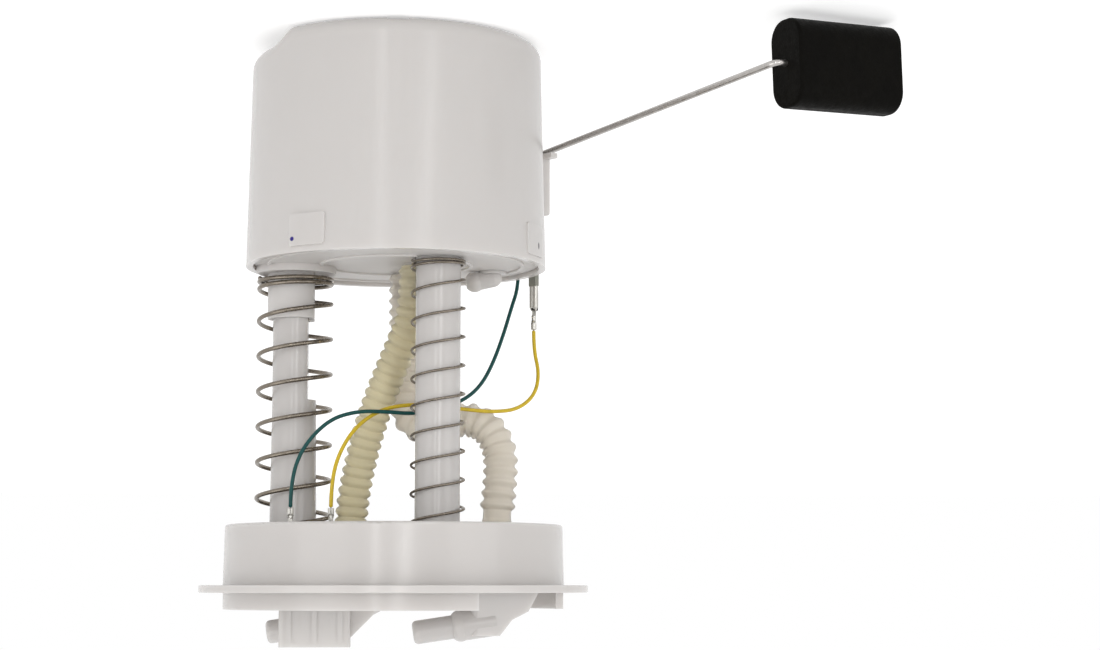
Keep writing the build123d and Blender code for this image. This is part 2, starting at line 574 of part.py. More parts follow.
with BuildPart() as pot_shell:
    with BuildSketch(Plane.XZ):
        with BuildLine():
            Polyline((0, POT_FOOT_Z), (pot_radius(POT_FOOT_Z), POT_FOOT_Z), (POT_R, POT_RIM_Z),
                     (0, POT_RIM_Z), close=True)
        make_face()
    revolve(axis=Axis.Z)
    # towards +X the foot is raised, over a slope with a rounded crest and valley
    with BuildSketch(Plane.XZ.offset(-POT_R)):
        with BuildLine():
            crest, valley = LOBE_X - LOBE_RAISE / 2, LOBE_X + LOBE_RAISE / 2
            raised = POT_FOOT_Z + LOBE_RAISE
            Polyline((crest, POT_FOOT_Z), (valley, raised), (2 * POT_R, raised), (2 * POT_R, POT_FOOT_Z),
                     close=True)
        make_face()
    extrude(amount=2 * POT_R, mode=Mode.SUBTRACT)
    across = pot_shell.edges().filter_by(Axis.Y).sort_by(Axis.X)
    fillet(across[0], radius=LOBE_CREST_R)
    across = pot_shell.edges().filter_by(Axis.Y).sort_by(Axis.X)
    fillet(across[-1], radius=LOBE_VALLEY_R)
    fillet(pot_shell.faces().sort_by(Axis.Z)[0].outer_wire().edges().filter_by(GeomType.CIRCLE),
           radius=POT_EDGE_R)
    add(latch_pads.part)
    add(pot_inside.part, mode=Mode.SUBTRACT)
    # ring that carries the lid
    with BuildSketch(Plane.XZ):
        with BuildLine():
            Polyline((inner_top + SINK, LID_UNDER_Z), (inner_top - LEDGE_W, LID_UNDER_Z),
                     (inner_top + SINK, LID_UNDER_Z - LEDGE_H), close=True)
        make_face()
    revolve(axis=Axis.Z)
    # ring that carries the pump's lower isolator
    with BuildSketch(Plane.XY.offset(FLOOR_Z - SINK)):
        with Locations((PUMP_X, PUMP_Y)):
            Circle(PUMP_SEAT_R1)
            Circle(PUMP_SEAT_R0, mode=Mode.SUBTRACT)
    extrude(amount=PUMP_FOOT_Z - ISOLATOR_T - FLOOR_Z + SINK)
    with BuildSketch(Plane.XY.offset(FLOOR_Z)):
        with Locations((PUMP_X, PUMP_Y)):
            with PolarLocations((PUMP_SEAT_R0 + PUMP_SEAT_R1) / 2, PUMP_SEAT_SLOTS, start_angle=-90):
                Rectangle(PUMP_SEAT_R1, PUMP_SEAT_SLOT_W)
    extrude(amount=PUMP_FOOT_Z - ISOLATOR_T - FLOOR_Z, mode=Mode.SUBTRACT)
    # hollow under the foot, fed by four channels
    with BuildSketch(Plane.XY.offset(POT_FOOT_Z)):
        Circle(FOOT_RECESS_R)
        Rectangle(2 * POT_R, FOOT_CHANNEL_W)
        Rectangle(FOOT_CHANNEL_W, 2 * POT_R)
    extrude(amount=FOOT_RECESS_H, mode=Mode.SUBTRACT)
    # foot valve ports and stem hole, and the jet pump's inlet
    with BuildSketch(Plane.XY.offset(POT_FOOT_Z)):
        with Locations((VALVE_X, VALVE_Y)):
            Circle(VALVE_HOLE_R)
            with PolarLocations(VALVE_RING_R, VALVE_PORTS):
                Circle(VALVE_HOLE_R)
        with Locations((RETURN_LOW_X, RETURN_LOW_Y)):
            Circle(JET_HOLE_R)
    extrude(amount=POT_FLOOR_T, mode=Mode.SUBTRACT)
save(pot_shell.part, "pot_shell")

with BuildPart() as foot_valve:
    with BuildSketch(Plane.XZ.offset(-VALVE_Y)):
        with BuildLine():
            stem = VALVE_HOLE_R - PUSH_GAP
            flap = VALVE_RING_R + FLAP_REACH
            ports = FLOOR_Z + PUSH_GAP
            below = POT_FOOT_Z + FOOT_RECESS_H - PUSH_GAP
            end = POT_FOOT_Z + STEM_UP
            collar = stem + STEM_COLLAR
            Polyline((VALVE_X, end), (VALVE_X + collar, end), (VALVE_X + collar, below),
                     (VALVE_X + stem, below), (VALVE_X + stem, ports), (VALVE_X + flap, ports),
                     (VALVE_X + flap, ports + FLAP_T), (VALVE_X, ports + FLAP_CROWN), close=True)
        make_face()
    revolve(axis=Axis((VALVE_X, VALVE_Y, 0), (0, 0, 1)))
save(foot_valve.part, "foot_valve")

# ---------------------------------------------------------------- lid with sleeves, collar and nipples
LID_R = pot_radius(LID_Z) - POT_WALL - LID_GAP
RIDGE_H, RIDGE_W = 0.6, 1.2
RIDGE_RINGS = (43.5, 26.0)
SOCKET_DEPTH, SOCKET_WALL = 6.0, 2.0
GROMMET_T, GROMMET_INSET = 1.8, 0.4
ELBOW_X, ELBOW_Y, ELBOW_R, ELBOW_BORE_R = -33.5, 16.0, 3.2, 1.8
ELBOW_HOLE_R = 2.6

with BuildPart() as pot_lid:
    with BuildSketch(Plane.XY.offset(LID_UNDER_Z)):
        Circle(LID_R)
    extrude(amount=LID_T)
    with BuildSketch(Plane.XY.offset(LID_Z - SINK)):
        for ring_r in RIDGE_RINGS:
            Circle(ring_r)
            Circle(ring_r - RIDGE_W, mode=Mode.SUBTRACT)
    extrude(amount=RIDGE_H + SINK)
    # raised seat and collar round the big column, sleeves below
    with BuildSketch(Plane.XY.offset(LID_Z - SINK)):
        with Locations((BIG_X, BIG_Y)):
            Circle(BIG_COIL_D / 2 + SEAT_RIM)
        Circle(LID_R, mode=Mode.INTERSECT)
    extrude(amount=SEAT_RISE + SINK)
    with BuildSketch(Plane.XY.offset(SLEEVE_END_Z)):
        big_section(SLIDE_GAP + SLEEVE_WALL)
    extrude(amount=COLLAR_TOP_Z - SLEEVE_END_Z)
    with BuildSketch(Plane.XY.offset(SLEEVE_END_Z)):
        with Locations((SMALL_X, SMALL_Y)):
            Circle(SMALL_SLEEVE_R + SLEEVE_WALL)
    extrude(amount=LID_Z - SLEEVE_END_Z)
    # flat ring that the small spring stands on, clear of the ridges
    with BuildSketch(Plane.XY.offset(LID_Z)):
        with Locations((SMALL_X, SMALL_Y)):
            Circle(SMALL_COIL_D / 2 + SEAT_RIM)
    extrude(amount=RIDGE_H, mode=Mode.SUBTRACT)
    # hose nipples, and the socket that the pump's outlet is sealed in
    for x, y in ((SUPPLY_LOW_X, SUPPLY_LOW_Y), (RETURN_LOW_X, RETURN_LOW_Y)):
        with BuildSketch(Plane.XY.offset(LID_Z - SINK)):
            with Locations((x, y)):
                Circle(NIPPLE_R)
        extrude(amount=LID_NIPPLE_H + SINK)
        for i in range(2):
            with Locations((x, y, LID_Z + LID_NIPPLE_H - BARB_H - BARB_PITCH * i)):
                Cone(BARB_R, NIPPLE_R, BARB_H)
        with BuildSketch(Plane.XY.offset(LID_UNDER_Z - SOCKET_DEPTH)):
            with Locations((x, y)):
                Circle(OUTLET_NIPPLE_R + GROMMET_T + SOCKET_WALL)
        extrude(amount=SOCKET_DEPTH)
    with BuildSketch(Plane.XY.offset(LID_UNDER_Z - SOCKET_DEPTH)):
        with Locations((SUPPLY_LOW_X, SUPPLY_LOW_Y)):
            Circle(OUTLET_NIPPLE_R + GROMMET_T)
        with Locations((RETURN_LOW_X, RETURN_LOW_Y)):
            Circle(JET_RISER_R + PUSH_GAP)
    extrude(amount=SOCKET_DEPTH, mode=Mode.SUBTRACT)
    with BuildSketch(Plane.XY.offset(LID_UNDER_Z - SINK)):
        for x, y in ((SUPPLY_LOW_X, SUPPLY_LOW_Y), (RETURN_LOW_X, RETURN_LOW_Y)):
            with Locations((x, y)):
                Circle(SPIGOT_BORE_R)
        with Locations((ELBOW_X, ELBOW_Y)):
            Circle(ELBOW_HOLE_R)
    extrude(amount=LID_NIPPLE_H + LID_T + 2 * SINK, mode=Mode.SUBTRACT)
    # the columns' ways through
    with BuildSketch(Plane.XY.offset(SLEEVE_END_Z)):
        with Locations((SMALL_X, SMALL_Y)):
            Circle(SMALL_SLEEVE_R)
    extrude(amount=LID_Z - SLEEVE_END_Z + SINK, mode=Mode.SUBTRACT)
    with BuildSketch(Plane.XY.offset(SLEEVE_END_Z)):
        big_section(SLIDE_GAP)
    extrude(amount=COLLAR_TOP_Z - SLEEVE_END_Z, mode=Mode.SUBTRACT)
save(pot_lid.part, "pot_lid")

ELBOW_RISE, ELBOW_REACH, ELBOW_LIFT = 1.6, 6.2, 1.4
ELBOW_RIM, ELBOW_RIM_T = 1.6, 1.0
ELBOW_LIP = 0.4         # how much fatter the rounded mouth is than the tube
with BuildPart() as breather_elbow:
    base = Vector(ELBOW_X, ELBOW_Y, LID_Z + RIDGE_H)
    corner = base + Vector(0, 0, ELBOW_RISE)
    mouth = corner + Vector(ELBOW_REACH, 0, ELBOW_LIFT)
    limb = Plane(origin=corner, z_dir=mouth - corner)
    for ball, radius in ((corner, ELBOW_R), (mouth, ELBOW_R + ELBOW_LIP)):
        with Locations(ball):
            Sphere(radius)
    with BuildSketch(limb):
        Circle(ELBOW_R)
    extrude(amount=(mouth - corner).length)
    split(bisect_by=Plane(origin=base, z_dir=(0, 0, 1)), keep=Keep.TOP)
    with BuildSketch(Plane.XY.offset(LID_Z)):
        with Locations((ELBOW_X, ELBOW_Y)):
            Circle(ELBOW_R + ELBOW_RIM)
    extrude(amount=ELBOW_RIM_T)
    with BuildSketch(Plane.XY.offset(LID_UNDER_Z)):
        with Locations((ELBOW_X, ELBOW_Y)):
            Circle(ELBOW_HOLE_R - PUSH_GAP)
    extrude(amount=LID_T + SINK)
    with BuildSketch(Plane.XY.offset(LID_UNDER_Z)):
        with Locations((ELBOW_X, ELBOW_Y)):
            Circle(ELBOW_BORE_R)
    extrude(amount=corner.Z - LID_UNDER_Z, mode=Mode.SUBTRACT)
    with BuildSketch(limb):
        Circle(ELBOW_BORE_R)
    extrude(amount=2 * ELBOW_REACH, mode=Mode.SUBTRACT)
save(breather_elbow.part, "breather_elbow")

# ---------------------------------------------------------------- jet pump that keeps the pot full
with BuildPart() as jet_pump:
    tube_z = FLOOR_Z + FLOOR_GAP + JET_TUBE_R
    jet_turn = math.radians(JET_TURN)
    jet_dir = Vector(math.cos(jet_turn), math.sin(jet_turn), 0)
    riser_foot = Vector(RETURN_LOW_X, RETURN_LOW_Y, FLOOR_Z)
    jet_start = Vector(RETURN_LOW_X, RETURN_LOW_Y, tube_z) - jet_dir * JET_TUBE_R
    jet_back = Plane(origin=jet_start, z_dir=jet_dir)
    with BuildSketch(Plane(origin=riser_foot, z_dir=(0, 0, 1))):
        Circle(JET_RISER_R)
    extrude(amount=LID_UNDER_Z - SEAT_GAP - FLOOR_Z)
    with BuildSketch(jet_back):
        Circle(JET_TUBE_R)
    extrude(amount=JET_L)
    foot = riser_foot + jet_dir * (JET_L - JET_FOOT_BACK)
    with BuildSketch(Plane(origin=foot, z_dir=(0, 0, 1))):
        Circle(JET_FOOT_R)
    extrude(amount=tube_z - FLOOR_Z)
    with BuildSketch(Plane(origin=riser_foot, z_dir=(0, 0, 1))):
        Circle(JET_HOLE_R)
    extrude(amount=LID_UNDER_Z - FLOOR_Z, mode=Mode.SUBTRACT)
    with BuildSketch(jet_back.offset(JET_TUBE_R)):
        Circle(JET_HOLE_R)
    extrude(amount=JET_L, mode=Mode.SUBTRACT)
save(jet_pump.part, "jet_pump")

# ---------------------------------------------------------------- pump
SHELL_IN_R = PUMP_R - PUMP_SHELL_T
COVER_R = SHELL_IN_R - PUSH_GAP
CHAMBER_Z = PUMP_FOOT_Z + INLET_COVER_T
POCKET_H = IMPELLER_T + 2 * IMPELLER_GAP
ARMATURE_Z = CHAMBER_Z + CHAMBER_T + CORE_LIFT
COMMUTATOR_Z = ARMATURE_Z + CORE_H + COMMUTATOR_LIFT
OUTLET_UNDER_Z = SHAFT_TOP_Z - THRUST_DEPTH
GALLERY_Z0, GALLERY_Z1 = SHAFT_TOP_Z + THRUST_DEPTH, VALVE_SEAT_Z - VALVE_SEAT_T
BEARING_HOLE_R = SHAFT_R + RUN_GAP

with BuildPart() as pump_shell:
    with BuildSketch(Plane.XY.offset(PUMP_SHELL_Z0)):
        with Locations((PUMP_X, PUMP_Y)):
            Circle(PUMP_R)
            Circle(SHELL_IN_R, mode=Mode.SUBTRACT)
    extrude(amount=PUMP_SHELL_Z1 - PUMP_SHELL_Z0)
save(pump_shell.part, "pump_shell")

with BuildPart() as pump_inlet_cover:
    with BuildSketch(Plane.XY.offset(PUMP_FOOT_Z)):
        with Locations((PUMP_X, PUMP_Y)):
            Circle(COVER_R)
    extrude(amount=INLET_COVER_T)
    with BuildSketch(Plane.XY.offset(PUMP_FOOT_Z - INLET_SPOUT_H)):
        with Locations((PUMP_X + INLET_SHIFT, PUMP_Y)):
            Circle(INLET_SPOUT_R)
    extrude(amount=INLET_SPOUT_H + SINK)
    with BuildSketch(Plane.XY.offset(PUMP_FOOT_Z - INLET_SPOUT_H)):
        with Locations((PUMP_X + INLET_SHIFT, PUMP_Y)):
            Circle(INLET_BORE_R)
    extrude(amount=INLET_COVER_T + INLET_SPOUT_H, mode=Mode.SUBTRACT)
    with BuildSketch(Plane.XY.offset(CHAMBER_Z - THRUST_DEPTH)):
        with Locations((PUMP_X, PUMP_Y)):
            Circle(SHAFT_R + THRUST_GAP)
    extrude(amount=THRUST_DEPTH, mode=Mode.SUBTRACT)
save(pump_inlet_cover.part, "pump_inlet_cover")

with BuildPart() as pump_chamber:
    with BuildSketch(Plane.XY.offset(CHAMBER_Z)):
        with Locations((PUMP_X, PUMP_Y)):
            Circle(COVER_R)
    extrude(amount=CHAMBER_T)
    with BuildSketch(Plane.XY.offset(CHAMBER_Z)):
        with Locations((PUMP_X, PUMP_Y)):
            Circle(IMPELLER_R + IMPELLER_ROOM)
    extrude(amount=POCKET_H, mode=Mode.SUBTRACT)
    with BuildSketch(Plane.XY.offset(CHAMBER_Z)):
        with Locations((PUMP_X, PUMP_Y)):
            Circle(BEARING_HOLE_R)
        with Locations((PUMP_X - IMPELLER_R + CHAMBER_PORT_R, PUMP_Y)):
            Circle(CHAMBER_PORT_R)
    extrude(amount=CHAMBER_T, mode=Mode.SUBTRACT)
save(pump_chamber.part, "pump_chamber")

with BuildPart() as impeller:
    with BuildSketch(Plane.XY.offset(CHAMBER_Z + IMPELLER_GAP)):
        with Locations((PUMP_X, PUMP_Y)):
            Circle(IMPELLER_R)
            Circle(SHAFT_R + PRESS_GAP, mode=Mode.SUBTRACT)
            with PolarLocations(IMPELLER_R - VANE_INSET, IMPELLER_VANES):
                Rectangle(VANE_L, VANE_W, mode=Mode.SUBTRACT)
    extrude(amount=IMPELLER_T)
save(impeller.part, "impeller")

with BuildPart() as armature:
    shaft_z = CHAMBER_Z - THRUST_DEPTH + SHAFT_END_GAP
    with BuildSketch(Plane.XY.offset(shaft_z)):
        with Locations((PUMP_X, PUMP_Y)):
            Circle(SHAFT_R)
    extrude(amount=SHAFT_TOP_Z - shaft_z)
    with BuildSketch(Plane.XY.offset(ARMATURE_Z)):
        with Locations((PUMP_X, PUMP_Y)):
            Circle(CORE_R)
            with PolarLocations(CORE_R - CORE_SLOT_INSET, CORE_SLOTS):
                Rectangle(CORE_SLOT_L, CORE_SLOT_W, mode=Mode.SUBTRACT)
    extrude(amount=CORE_H)
    with BuildSketch(Plane.XY.offset(ARMATURE_Z - WINDING_OUT)):
        with Locations((PUMP_X, PUMP_Y)):
            Circle(CORE_R - WINDING_IN)
    extrude(amount=CORE_H + 2 * WINDING_OUT)
save(armature.part, "armature")

with BuildPart() as commutator:
    with BuildSketch(Plane.XY.offset(COMMUTATOR_Z)):
        with Locations((PUMP_X, PUMP_Y)):
            Circle(COMMUTATOR_R)
            Circle(SHAFT_R + PRESS_GAP, mode=Mode.SUBTRACT)
            with PolarLocations(COMMUTATOR_R, CORE_SLOTS):
                Rectangle(SEGMENT_CUT_L, SEGMENT_CUT_W, mode=Mode.SUBTRACT)
    extrude(amount=COMMUTATOR_H)
save(commutator.part, "commutator")

with BuildPart() as pump_magnets:
    with BuildSketch(Plane.XY.offset(ARMATURE_Z - MAGNET_DROP)):
        with Locations((PUMP_X, PUMP_Y)):
            Circle(COVER_R)
            Circle(COVER_R - MAGNET_T, mode=Mode.SUBTRACT)
            Rectangle(MAGNET_SPLIT, 2 * PUMP_R, mode=Mode.SUBTRACT)
    extrude(amount=MAGNET_H)
save(pump_magnets.part, "pump_magnets")

BRUSH_Z = COMMUTATOR_Z + COMMUTATOR_H / 2
BRUSH_IN, BRUSH_OUT = COMMUTATOR_R + BRUSH_GAP, COMMUTATOR_R + BRUSH_L
with BuildPart() as pump_brushes:
    for side in (-1, 1):
        with Locations((PUMP_X, PUMP_Y + side * (BRUSH_IN + BRUSH_OUT) / 2, BRUSH_Z)):
            Box(BRUSH_W, BRUSH_OUT - BRUSH_IN, BRUSH_H)
save(pump_brushes.part, "pump_brushes")

with BuildPart() as pump_outlet_cover:
    under = COMMUTATOR_Z + COLLAR_LIFT
    with BuildSketch(Plane.XY.offset(under)):
        with Locations((PUMP_X, PUMP_Y)):
            Circle(COVER_R)
            Circle(COMMUTATOR_R + COLLAR_ROOM, mode=Mode.SUBTRACT)
    extrude(amount=OUTLET_UNDER_Z - under)
    with BuildSketch(Plane.XY.offset(OUTLET_UNDER_Z)):
        with Locations((PUMP_X, PUMP_Y)):
            Circle(COVER_R)
    extrude(amount=PUMP_SHELL_Z1 - OUTLET_UNDER_Z)
    with BuildSketch(Plane.XY.offset(PUMP_SHELL_Z1)):
        with Locations((PUMP_X, PUMP_Y)):
            Circle(PUMP_R - OUTLET_STEP)
    extrude(amount=OUTLET_COVER_TOP - PUMP_SHELL_Z1)
    fillet(pump_outlet_cover.edges().filter_by(GeomType.CIRCLE).group_by(Axis.Z)[-1], radius=OUTLET_EDGE_R)
    with BuildSketch(Plane.XY.offset(OUTLET_COVER_TOP - SINK)):
        with Locations((PUMP_X, PUMP_Y)):
            Circle(OUTLET_NIPPLE_R)
    extrude(amount=OUTLET_TOP_Z - OUTLET_COVER_TOP + SINK)
    # outlet bore above the valve seat, and a gallery that feeds the seat round the shaft's end
    with BuildSketch(Plane.XY.offset(VALVE_SEAT_Z)):
        with Locations((PUMP_X, PUMP_Y)):
            Circle(OUTLET_BORE_R)
    extrude(amount=OUTLET_TOP_Z - VALVE_SEAT_Z, mode=Mode.SUBTRACT)
    with BuildSketch(Plane.XY.offset(GALLERY_Z1)):
        with Locations((PUMP_X, PUMP_Y)):
            Circle(VALVE_SEAT_R)
    extrude(amount=VALVE_SEAT_Z - GALLERY_Z1, mode=Mode.SUBTRACT)
    with BuildSketch(Plane.XY.offset(GALLERY_Z0)):
        with Locations((PUMP_X, PUMP_Y)):
            Circle(GALLERY_R)
    extrude(amount=GALLERY_Z1 - GALLERY_Z0, mode=Mode.SUBTRACT)
    with BuildSketch(Plane.XY.offset(OUTLET_UNDER_Z)):
        with Locations((PUMP_X, PUMP_Y)):
            with PolarLocations(GALLERY_R - GALLERY_PORT_INSET, GALLERY_PORTS):
                Circle(GALLERY_PORT_R)
    extrude(amount=GALLERY_Z0 - OUTLET_UNDER_Z, mode=Mode.SUBTRACT)
    # the shaft's upper bearing, and a pocket for each brush
    with BuildSketch(Plane.XY.offset(OUTLET_UNDER_Z)):
        with Locations((PUMP_X, PUMP_Y)):
            Circle(BEARING_HOLE_R)
    extrude(amount=SHAFT_TOP_Z + SHAFT_END_GAP - OUTLET_UNDER_Z, mode=Mode.SUBTRACT)
    with BuildSketch(Plane.XZ.offset(-PUMP_Y - BRUSH_OUT - PUSH_GAP)):
        with Locations((PUMP_X, BRUSH_Z)):
            Rectangle(BRUSH_W + 2 * PUSH_GAP, BRUSH_H + 2 * PUSH_GAP)
    extrude(amount=2 * (BRUSH_OUT + PUSH_GAP), mode=Mode.SUBTRACT)
save(pump_outlet_cover.part, "pump_outlet_cover")

with BuildPart() as check_valve:
    with BuildSketch(Plane.XZ.offset(-PUMP_Y)):
        with BuildLine():
            body_r = OUTLET_BORE_R - RUN_GAP
            z = VALVE_SEAT_Z + PUSH_GAP
            Polyline((PUMP_X, z), (PUMP_X + body_r, z), (PUMP_X + body_r, z + VALVE_BODY_H),
                     (PUMP_X + VALVE_TOP_R, z + VALVE_H), (PUMP_X, z + VALVE_H), close=True)
        make_face()
    revolve(axis=Axis((PUMP_X, PUMP_Y, 0), (0, 0, 1)))
save(check_valve.part, "check_valve")

with BuildPart() as check_valve_stop:
    stop_z = VALVE_SEAT_Z + VALVE_H + VALVE_TRAVEL + 2 * PUSH_GAP
    with BuildSketch(Plane.XY.offset(stop_z)):
        with Locations((PUMP_X, PUMP_Y)):
            Circle(OUTLET_BORE_R - PRESS_GAP)
            Circle(STOP_HOLE_R, mode=Mode.SUBTRACT)
    extrude(amount=STOP_T)
    with BuildSketch(Plane.XY.offset(stop_z)):
        with Locations((PUMP_X, PUMP_Y)):
            Rectangle(OUTLET_BORE_R + STOP_HOLE_R, STOP_BAR_W)
    extrude(amount=STOP_BAR_T)
save(check_valve_stop.part, "check_valve_stop")

with BuildPart() as outlet_grommet:
    with BuildSketch(Plane.XY.offset(LID_UNDER_Z - SOCKET_DEPTH + GROMMET_INSET)):
        with Locations((PUMP_X, PUMP_Y)):
            Circle(OUTLET_NIPPLE_R + GROMMET_T - PUSH_GAP)
            Circle(OUTLET_NIPPLE_R + PUSH_GAP, mode=Mode.SUBTRACT)
    extrude(amount=SOCKET_DEPTH - 2 * GROMMET_INSET)
save(outlet_grommet.part, "outlet_grommet")

with BuildPart() as pump_isolator:
    with BuildSketch(Plane.XY.offset(PUMP_FOOT_Z - ISOLATOR_T)):
        with Locations((PUMP_X, PUMP_Y)):
            Circle(PUMP_R + PUSH_GAP + ISOLATOR_T)
            Circle(STRAINER_R + STRAINER_ROOM, mode=Mode.SUBTRACT)
    extrude(amount=ISOLATOR_H)
    with BuildSketch(Plane.XY.offset(PUMP_FOOT_Z)):
        with Locations((PUMP_X, PUMP_Y)):
            Circle(PUMP_R + PUSH_GAP)
    extrude(amount=ISOLATOR_H, mode=Mode.SUBTRACT)
save(pump_isolator.part, "pump_isolator")

with BuildPart() as inlet_strainer:
    with BuildSketch(Plane.XY.offset(FLOOR_Z + FLOOR_GAP)):
        with Locations((PUMP_X, PUMP_Y)):
            Circle(STRAINER_R)
    extrude(amount=STRAINER_H)
    with BuildSketch(Plane.XY.offset(PUMP_FOOT_Z - INLET_SPOUT_H)):
        with Locations((PUMP_X + INLET_SHIFT, PUMP_Y)):
            Circle(INLET_SPOUT_R + PUSH_GAP)
    extrude(amount=INLET_SPOUT_H, mode=Mode.SUBTRACT)
save(inlet_strainer.part, "inlet_strainer")

# ---------------------------------------------------------------- level sender
CARD_Z1 = SENDER_TOP_Z - CARD_DROP
CARD_Z0 = CARD_Z1 - CARD_H

with BuildPart() as sender_housing:
    back = POT_R - SENDER_ROOT
    with BuildSketch(sender_plane(back)):
        with Locations(((SENDER_S0 + SENDER_S1) / 2, (SENDER_TOP_Z + SENDER_LOW_Z) / 2)):
            RectangleRounded(SENDER_S1 - SENDER_S0, SENDER_H, SENDER_CORNER_R)
        with Locations((HUB_S, HUB_Z)):
            Circle(HUB_EAR_R)
    extrude(amount=SENDER_FACE - back)
    with BuildSketch(sender_plane(SENDER_FACE - TAB_T)):
        with Locations((SENDER_S1 + TAB_OUT - TAB_L / 2, SENDER_LOW_Z + TAB_H / 2)):
            Rectangle(TAB_L, TAB_H)
    extrude(amount=TAB_T)
    # recess for the resistor card
    with BuildSketch(sender_plane(SENDER_FACE - CARD_DEEP)):
        with Locations(((CARD_S0 + CARD_S1) / 2, (CARD_Z0 + CARD_Z1) / 2)):
            Rectangle(CARD_S1 - CARD_S0 + 2 * CARD_GAP, CARD_H + 2 * CARD_GAP)
    extrude(amount=CARD_DEEP, mode=Mode.SUBTRACT)
    with BuildSketch(sender_plane(back)):
        with Locations((HUB_S, HUB_Z)):
            Circle(PIVOT_R)
    extrude(amount=SENDER_FACE - back, mode=Mode.SUBTRACT)
    # lie against the pot's drafted wall
    with BuildSketch(Plane.XZ):
        with BuildLine():
            low, high = HUB_Z - 2 * HUB_EAR_R, SENDER_TOP_Z + 2 * SINK
            Polyline((0, low), (pot_radius(low) + PUSH_GAP, low), (pot_radius(high) + PUSH_GAP, high),
                     (0, high), close=True)
        make_face()
    revolve(axis=Axis.Z, mode=Mode.SUBTRACT)
save(sender_housing.part, "sender_housing")

with BuildPart() as resistor_card:
    with BuildSketch(sender_plane(SENDER_FACE - CARD_DEEP)):
        with Locations(((CARD_S0 + CARD_S1) / 2, (CARD_Z0 + CARD_Z1) / 2)):
            Rectangle(CARD_S1 - CARD_S0, CARD_H)
    extrude(amount=CARD_T)
save(resistor_card.part, "resistor_card")

# two posts carry the blades that the wires plug on to
GREEN_POST_TOP = SENDER_TOP_Z + GREEN_POST_RISE
POST_TOPS = ((POST_S, POST_TOP_Z), (GREEN_POST_S, GREEN_POST_TOP))
TERMINAL_AXIS = SENDER_FACE - POST_IN - POST_T / 2
with BuildPart() as sender_posts:
    for s, top in POST_TOPS:
        with BuildSketch(sender_plane(TERMINAL_AXIS - POST_T / 2)):
            with Locations((s, SENDER_TOP_Z)):
                Rectangle(POST_W, top - SENDER_TOP_Z, align=(Align.CENTER, Align.MIN))
        extrude(amount=POST_T)
save(sender_posts.part, "sender_posts")

with BuildPart() as sender_blades:
    for s, top in POST_TOPS:
        with BuildSketch(sender_plane(TERMINAL_AXIS - SENDER_BLADE_T / 2)):
            with Locations((s, top)):
                Rectangle(SENDER_BLADE_W, TERMINAL_H - BLADE_SPARE, align=(Align.CENTER, Align.MIN))
        extrude(amount=SENDER_BLADE_T)
save(sender_blades.part, "sender_blades")

arm_turn = math.radians(-ARM_DROP)
arm_dir = ALONG * math.cos(arm_turn) + Vector(0, 0, math.sin(arm_turn))
arm_start = sender_point(ARM_PLANE, HUB_S, HUB_Z) - arm_dir * ARM_TAIL
arm_corner = sender_point(ARM_PLANE, HUB_S, HUB_Z) + arm_dir * ARM_L
float_dir = OUT.rotate(Axis.Z, FLOAT_TURN) * math.cos(math.radians(FLOAT_DIP))
float_dir -= Vector(0, 0, math.sin(math.radians(FLOAT_DIP)))
float_side = Vector(0, 0, 1).cross(float_dir)
float_plane = Plane(origin=arm_corner + float_dir * FLOAT_OFF, x_dir=float_side, z_dir=float_dir)
arm_end = float_plane.origin + float_dir * ARM_IN_FLOAT

with BuildPart() as float_arm_wire:
    with BuildLine() as arm_path:
        FilletPolyline(arm_start, arm_corner, arm_end, radius=ARM_BEND_R)
    arm_line = arm_path.wire()
    with BuildSketch(Plane(origin=arm_line @ 0, z_dir=arm_line % 0)):
        Circle(ARM_R)
    sweep(path=arm_line)
save(float_arm_wire.part, "float_arm_wire")

with BuildPart() as arm_hub:
    with BuildSketch(sender_plane(SENDER_FACE + HUB_GAP)):
        with Locations((HUB_S, HUB_Z)):
            Circle(HUB_R)
    extrude(amount=HUB_T)
    with BuildSketch(sender_plane(SENDER_FACE - PIVOT_L)):
        with Locations((HUB_S, HUB_Z)):
            Circle(PIVOT_R - RUN_GAP)
    extrude(amount=PIVOT_L + HUB_GAP + SINK)
    with BuildSketch(Plane(origin=arm_start, z_dir=arm_dir)):
        Circle(ARM_R + ARM_HOLD)
    extrude(amount=2 * HUB_R + ARM_TAIL, mode=Mode.SUBTRACT)
save(arm_hub.part, "arm_hub")

with BuildPart() as wiper:
    wiper_back = SENDER_FACE - CARD_DEEP + CARD_T + WIPER_LIFT
    finger = sender_plane(wiper_back)
    finger = Plane(origin=sender_point(wiper_back, HUB_S, HUB_Z), z_dir=OUT,
                   x_dir=finger.x_dir * math.cos(math.radians(WIPER_TURN))
                   + finger.y_dir * math.sin(math.radians(WIPER_TURN)))
    with BuildSketch(finger):
        with Locations((HUB_R + PUSH_GAP, 0)):
            Rectangle(WIPER_L - HUB_R, WIPER_W, align=(Align.MIN, Align.CENTER))
        with Locations((WIPER_L, 0)):
            Rectangle(WIPER_L - HUB_R - WIPER_ROOT, WIPER_SLOT_W, align=(Align.MAX, Align.CENTER),
                      mode=Mode.SUBTRACT)
    extrude(amount=WIPER_T)
    with BuildSketch(finger):
        with Locations((HUB_R + PUSH_GAP, 0)):
            Rectangle(WIPER_FOOT_L, WIPER_W, align=(Align.MIN, Align.CENTER))
    extrude(amount=WIPER_FOOT_T)
save(wiper.part, "wiper")

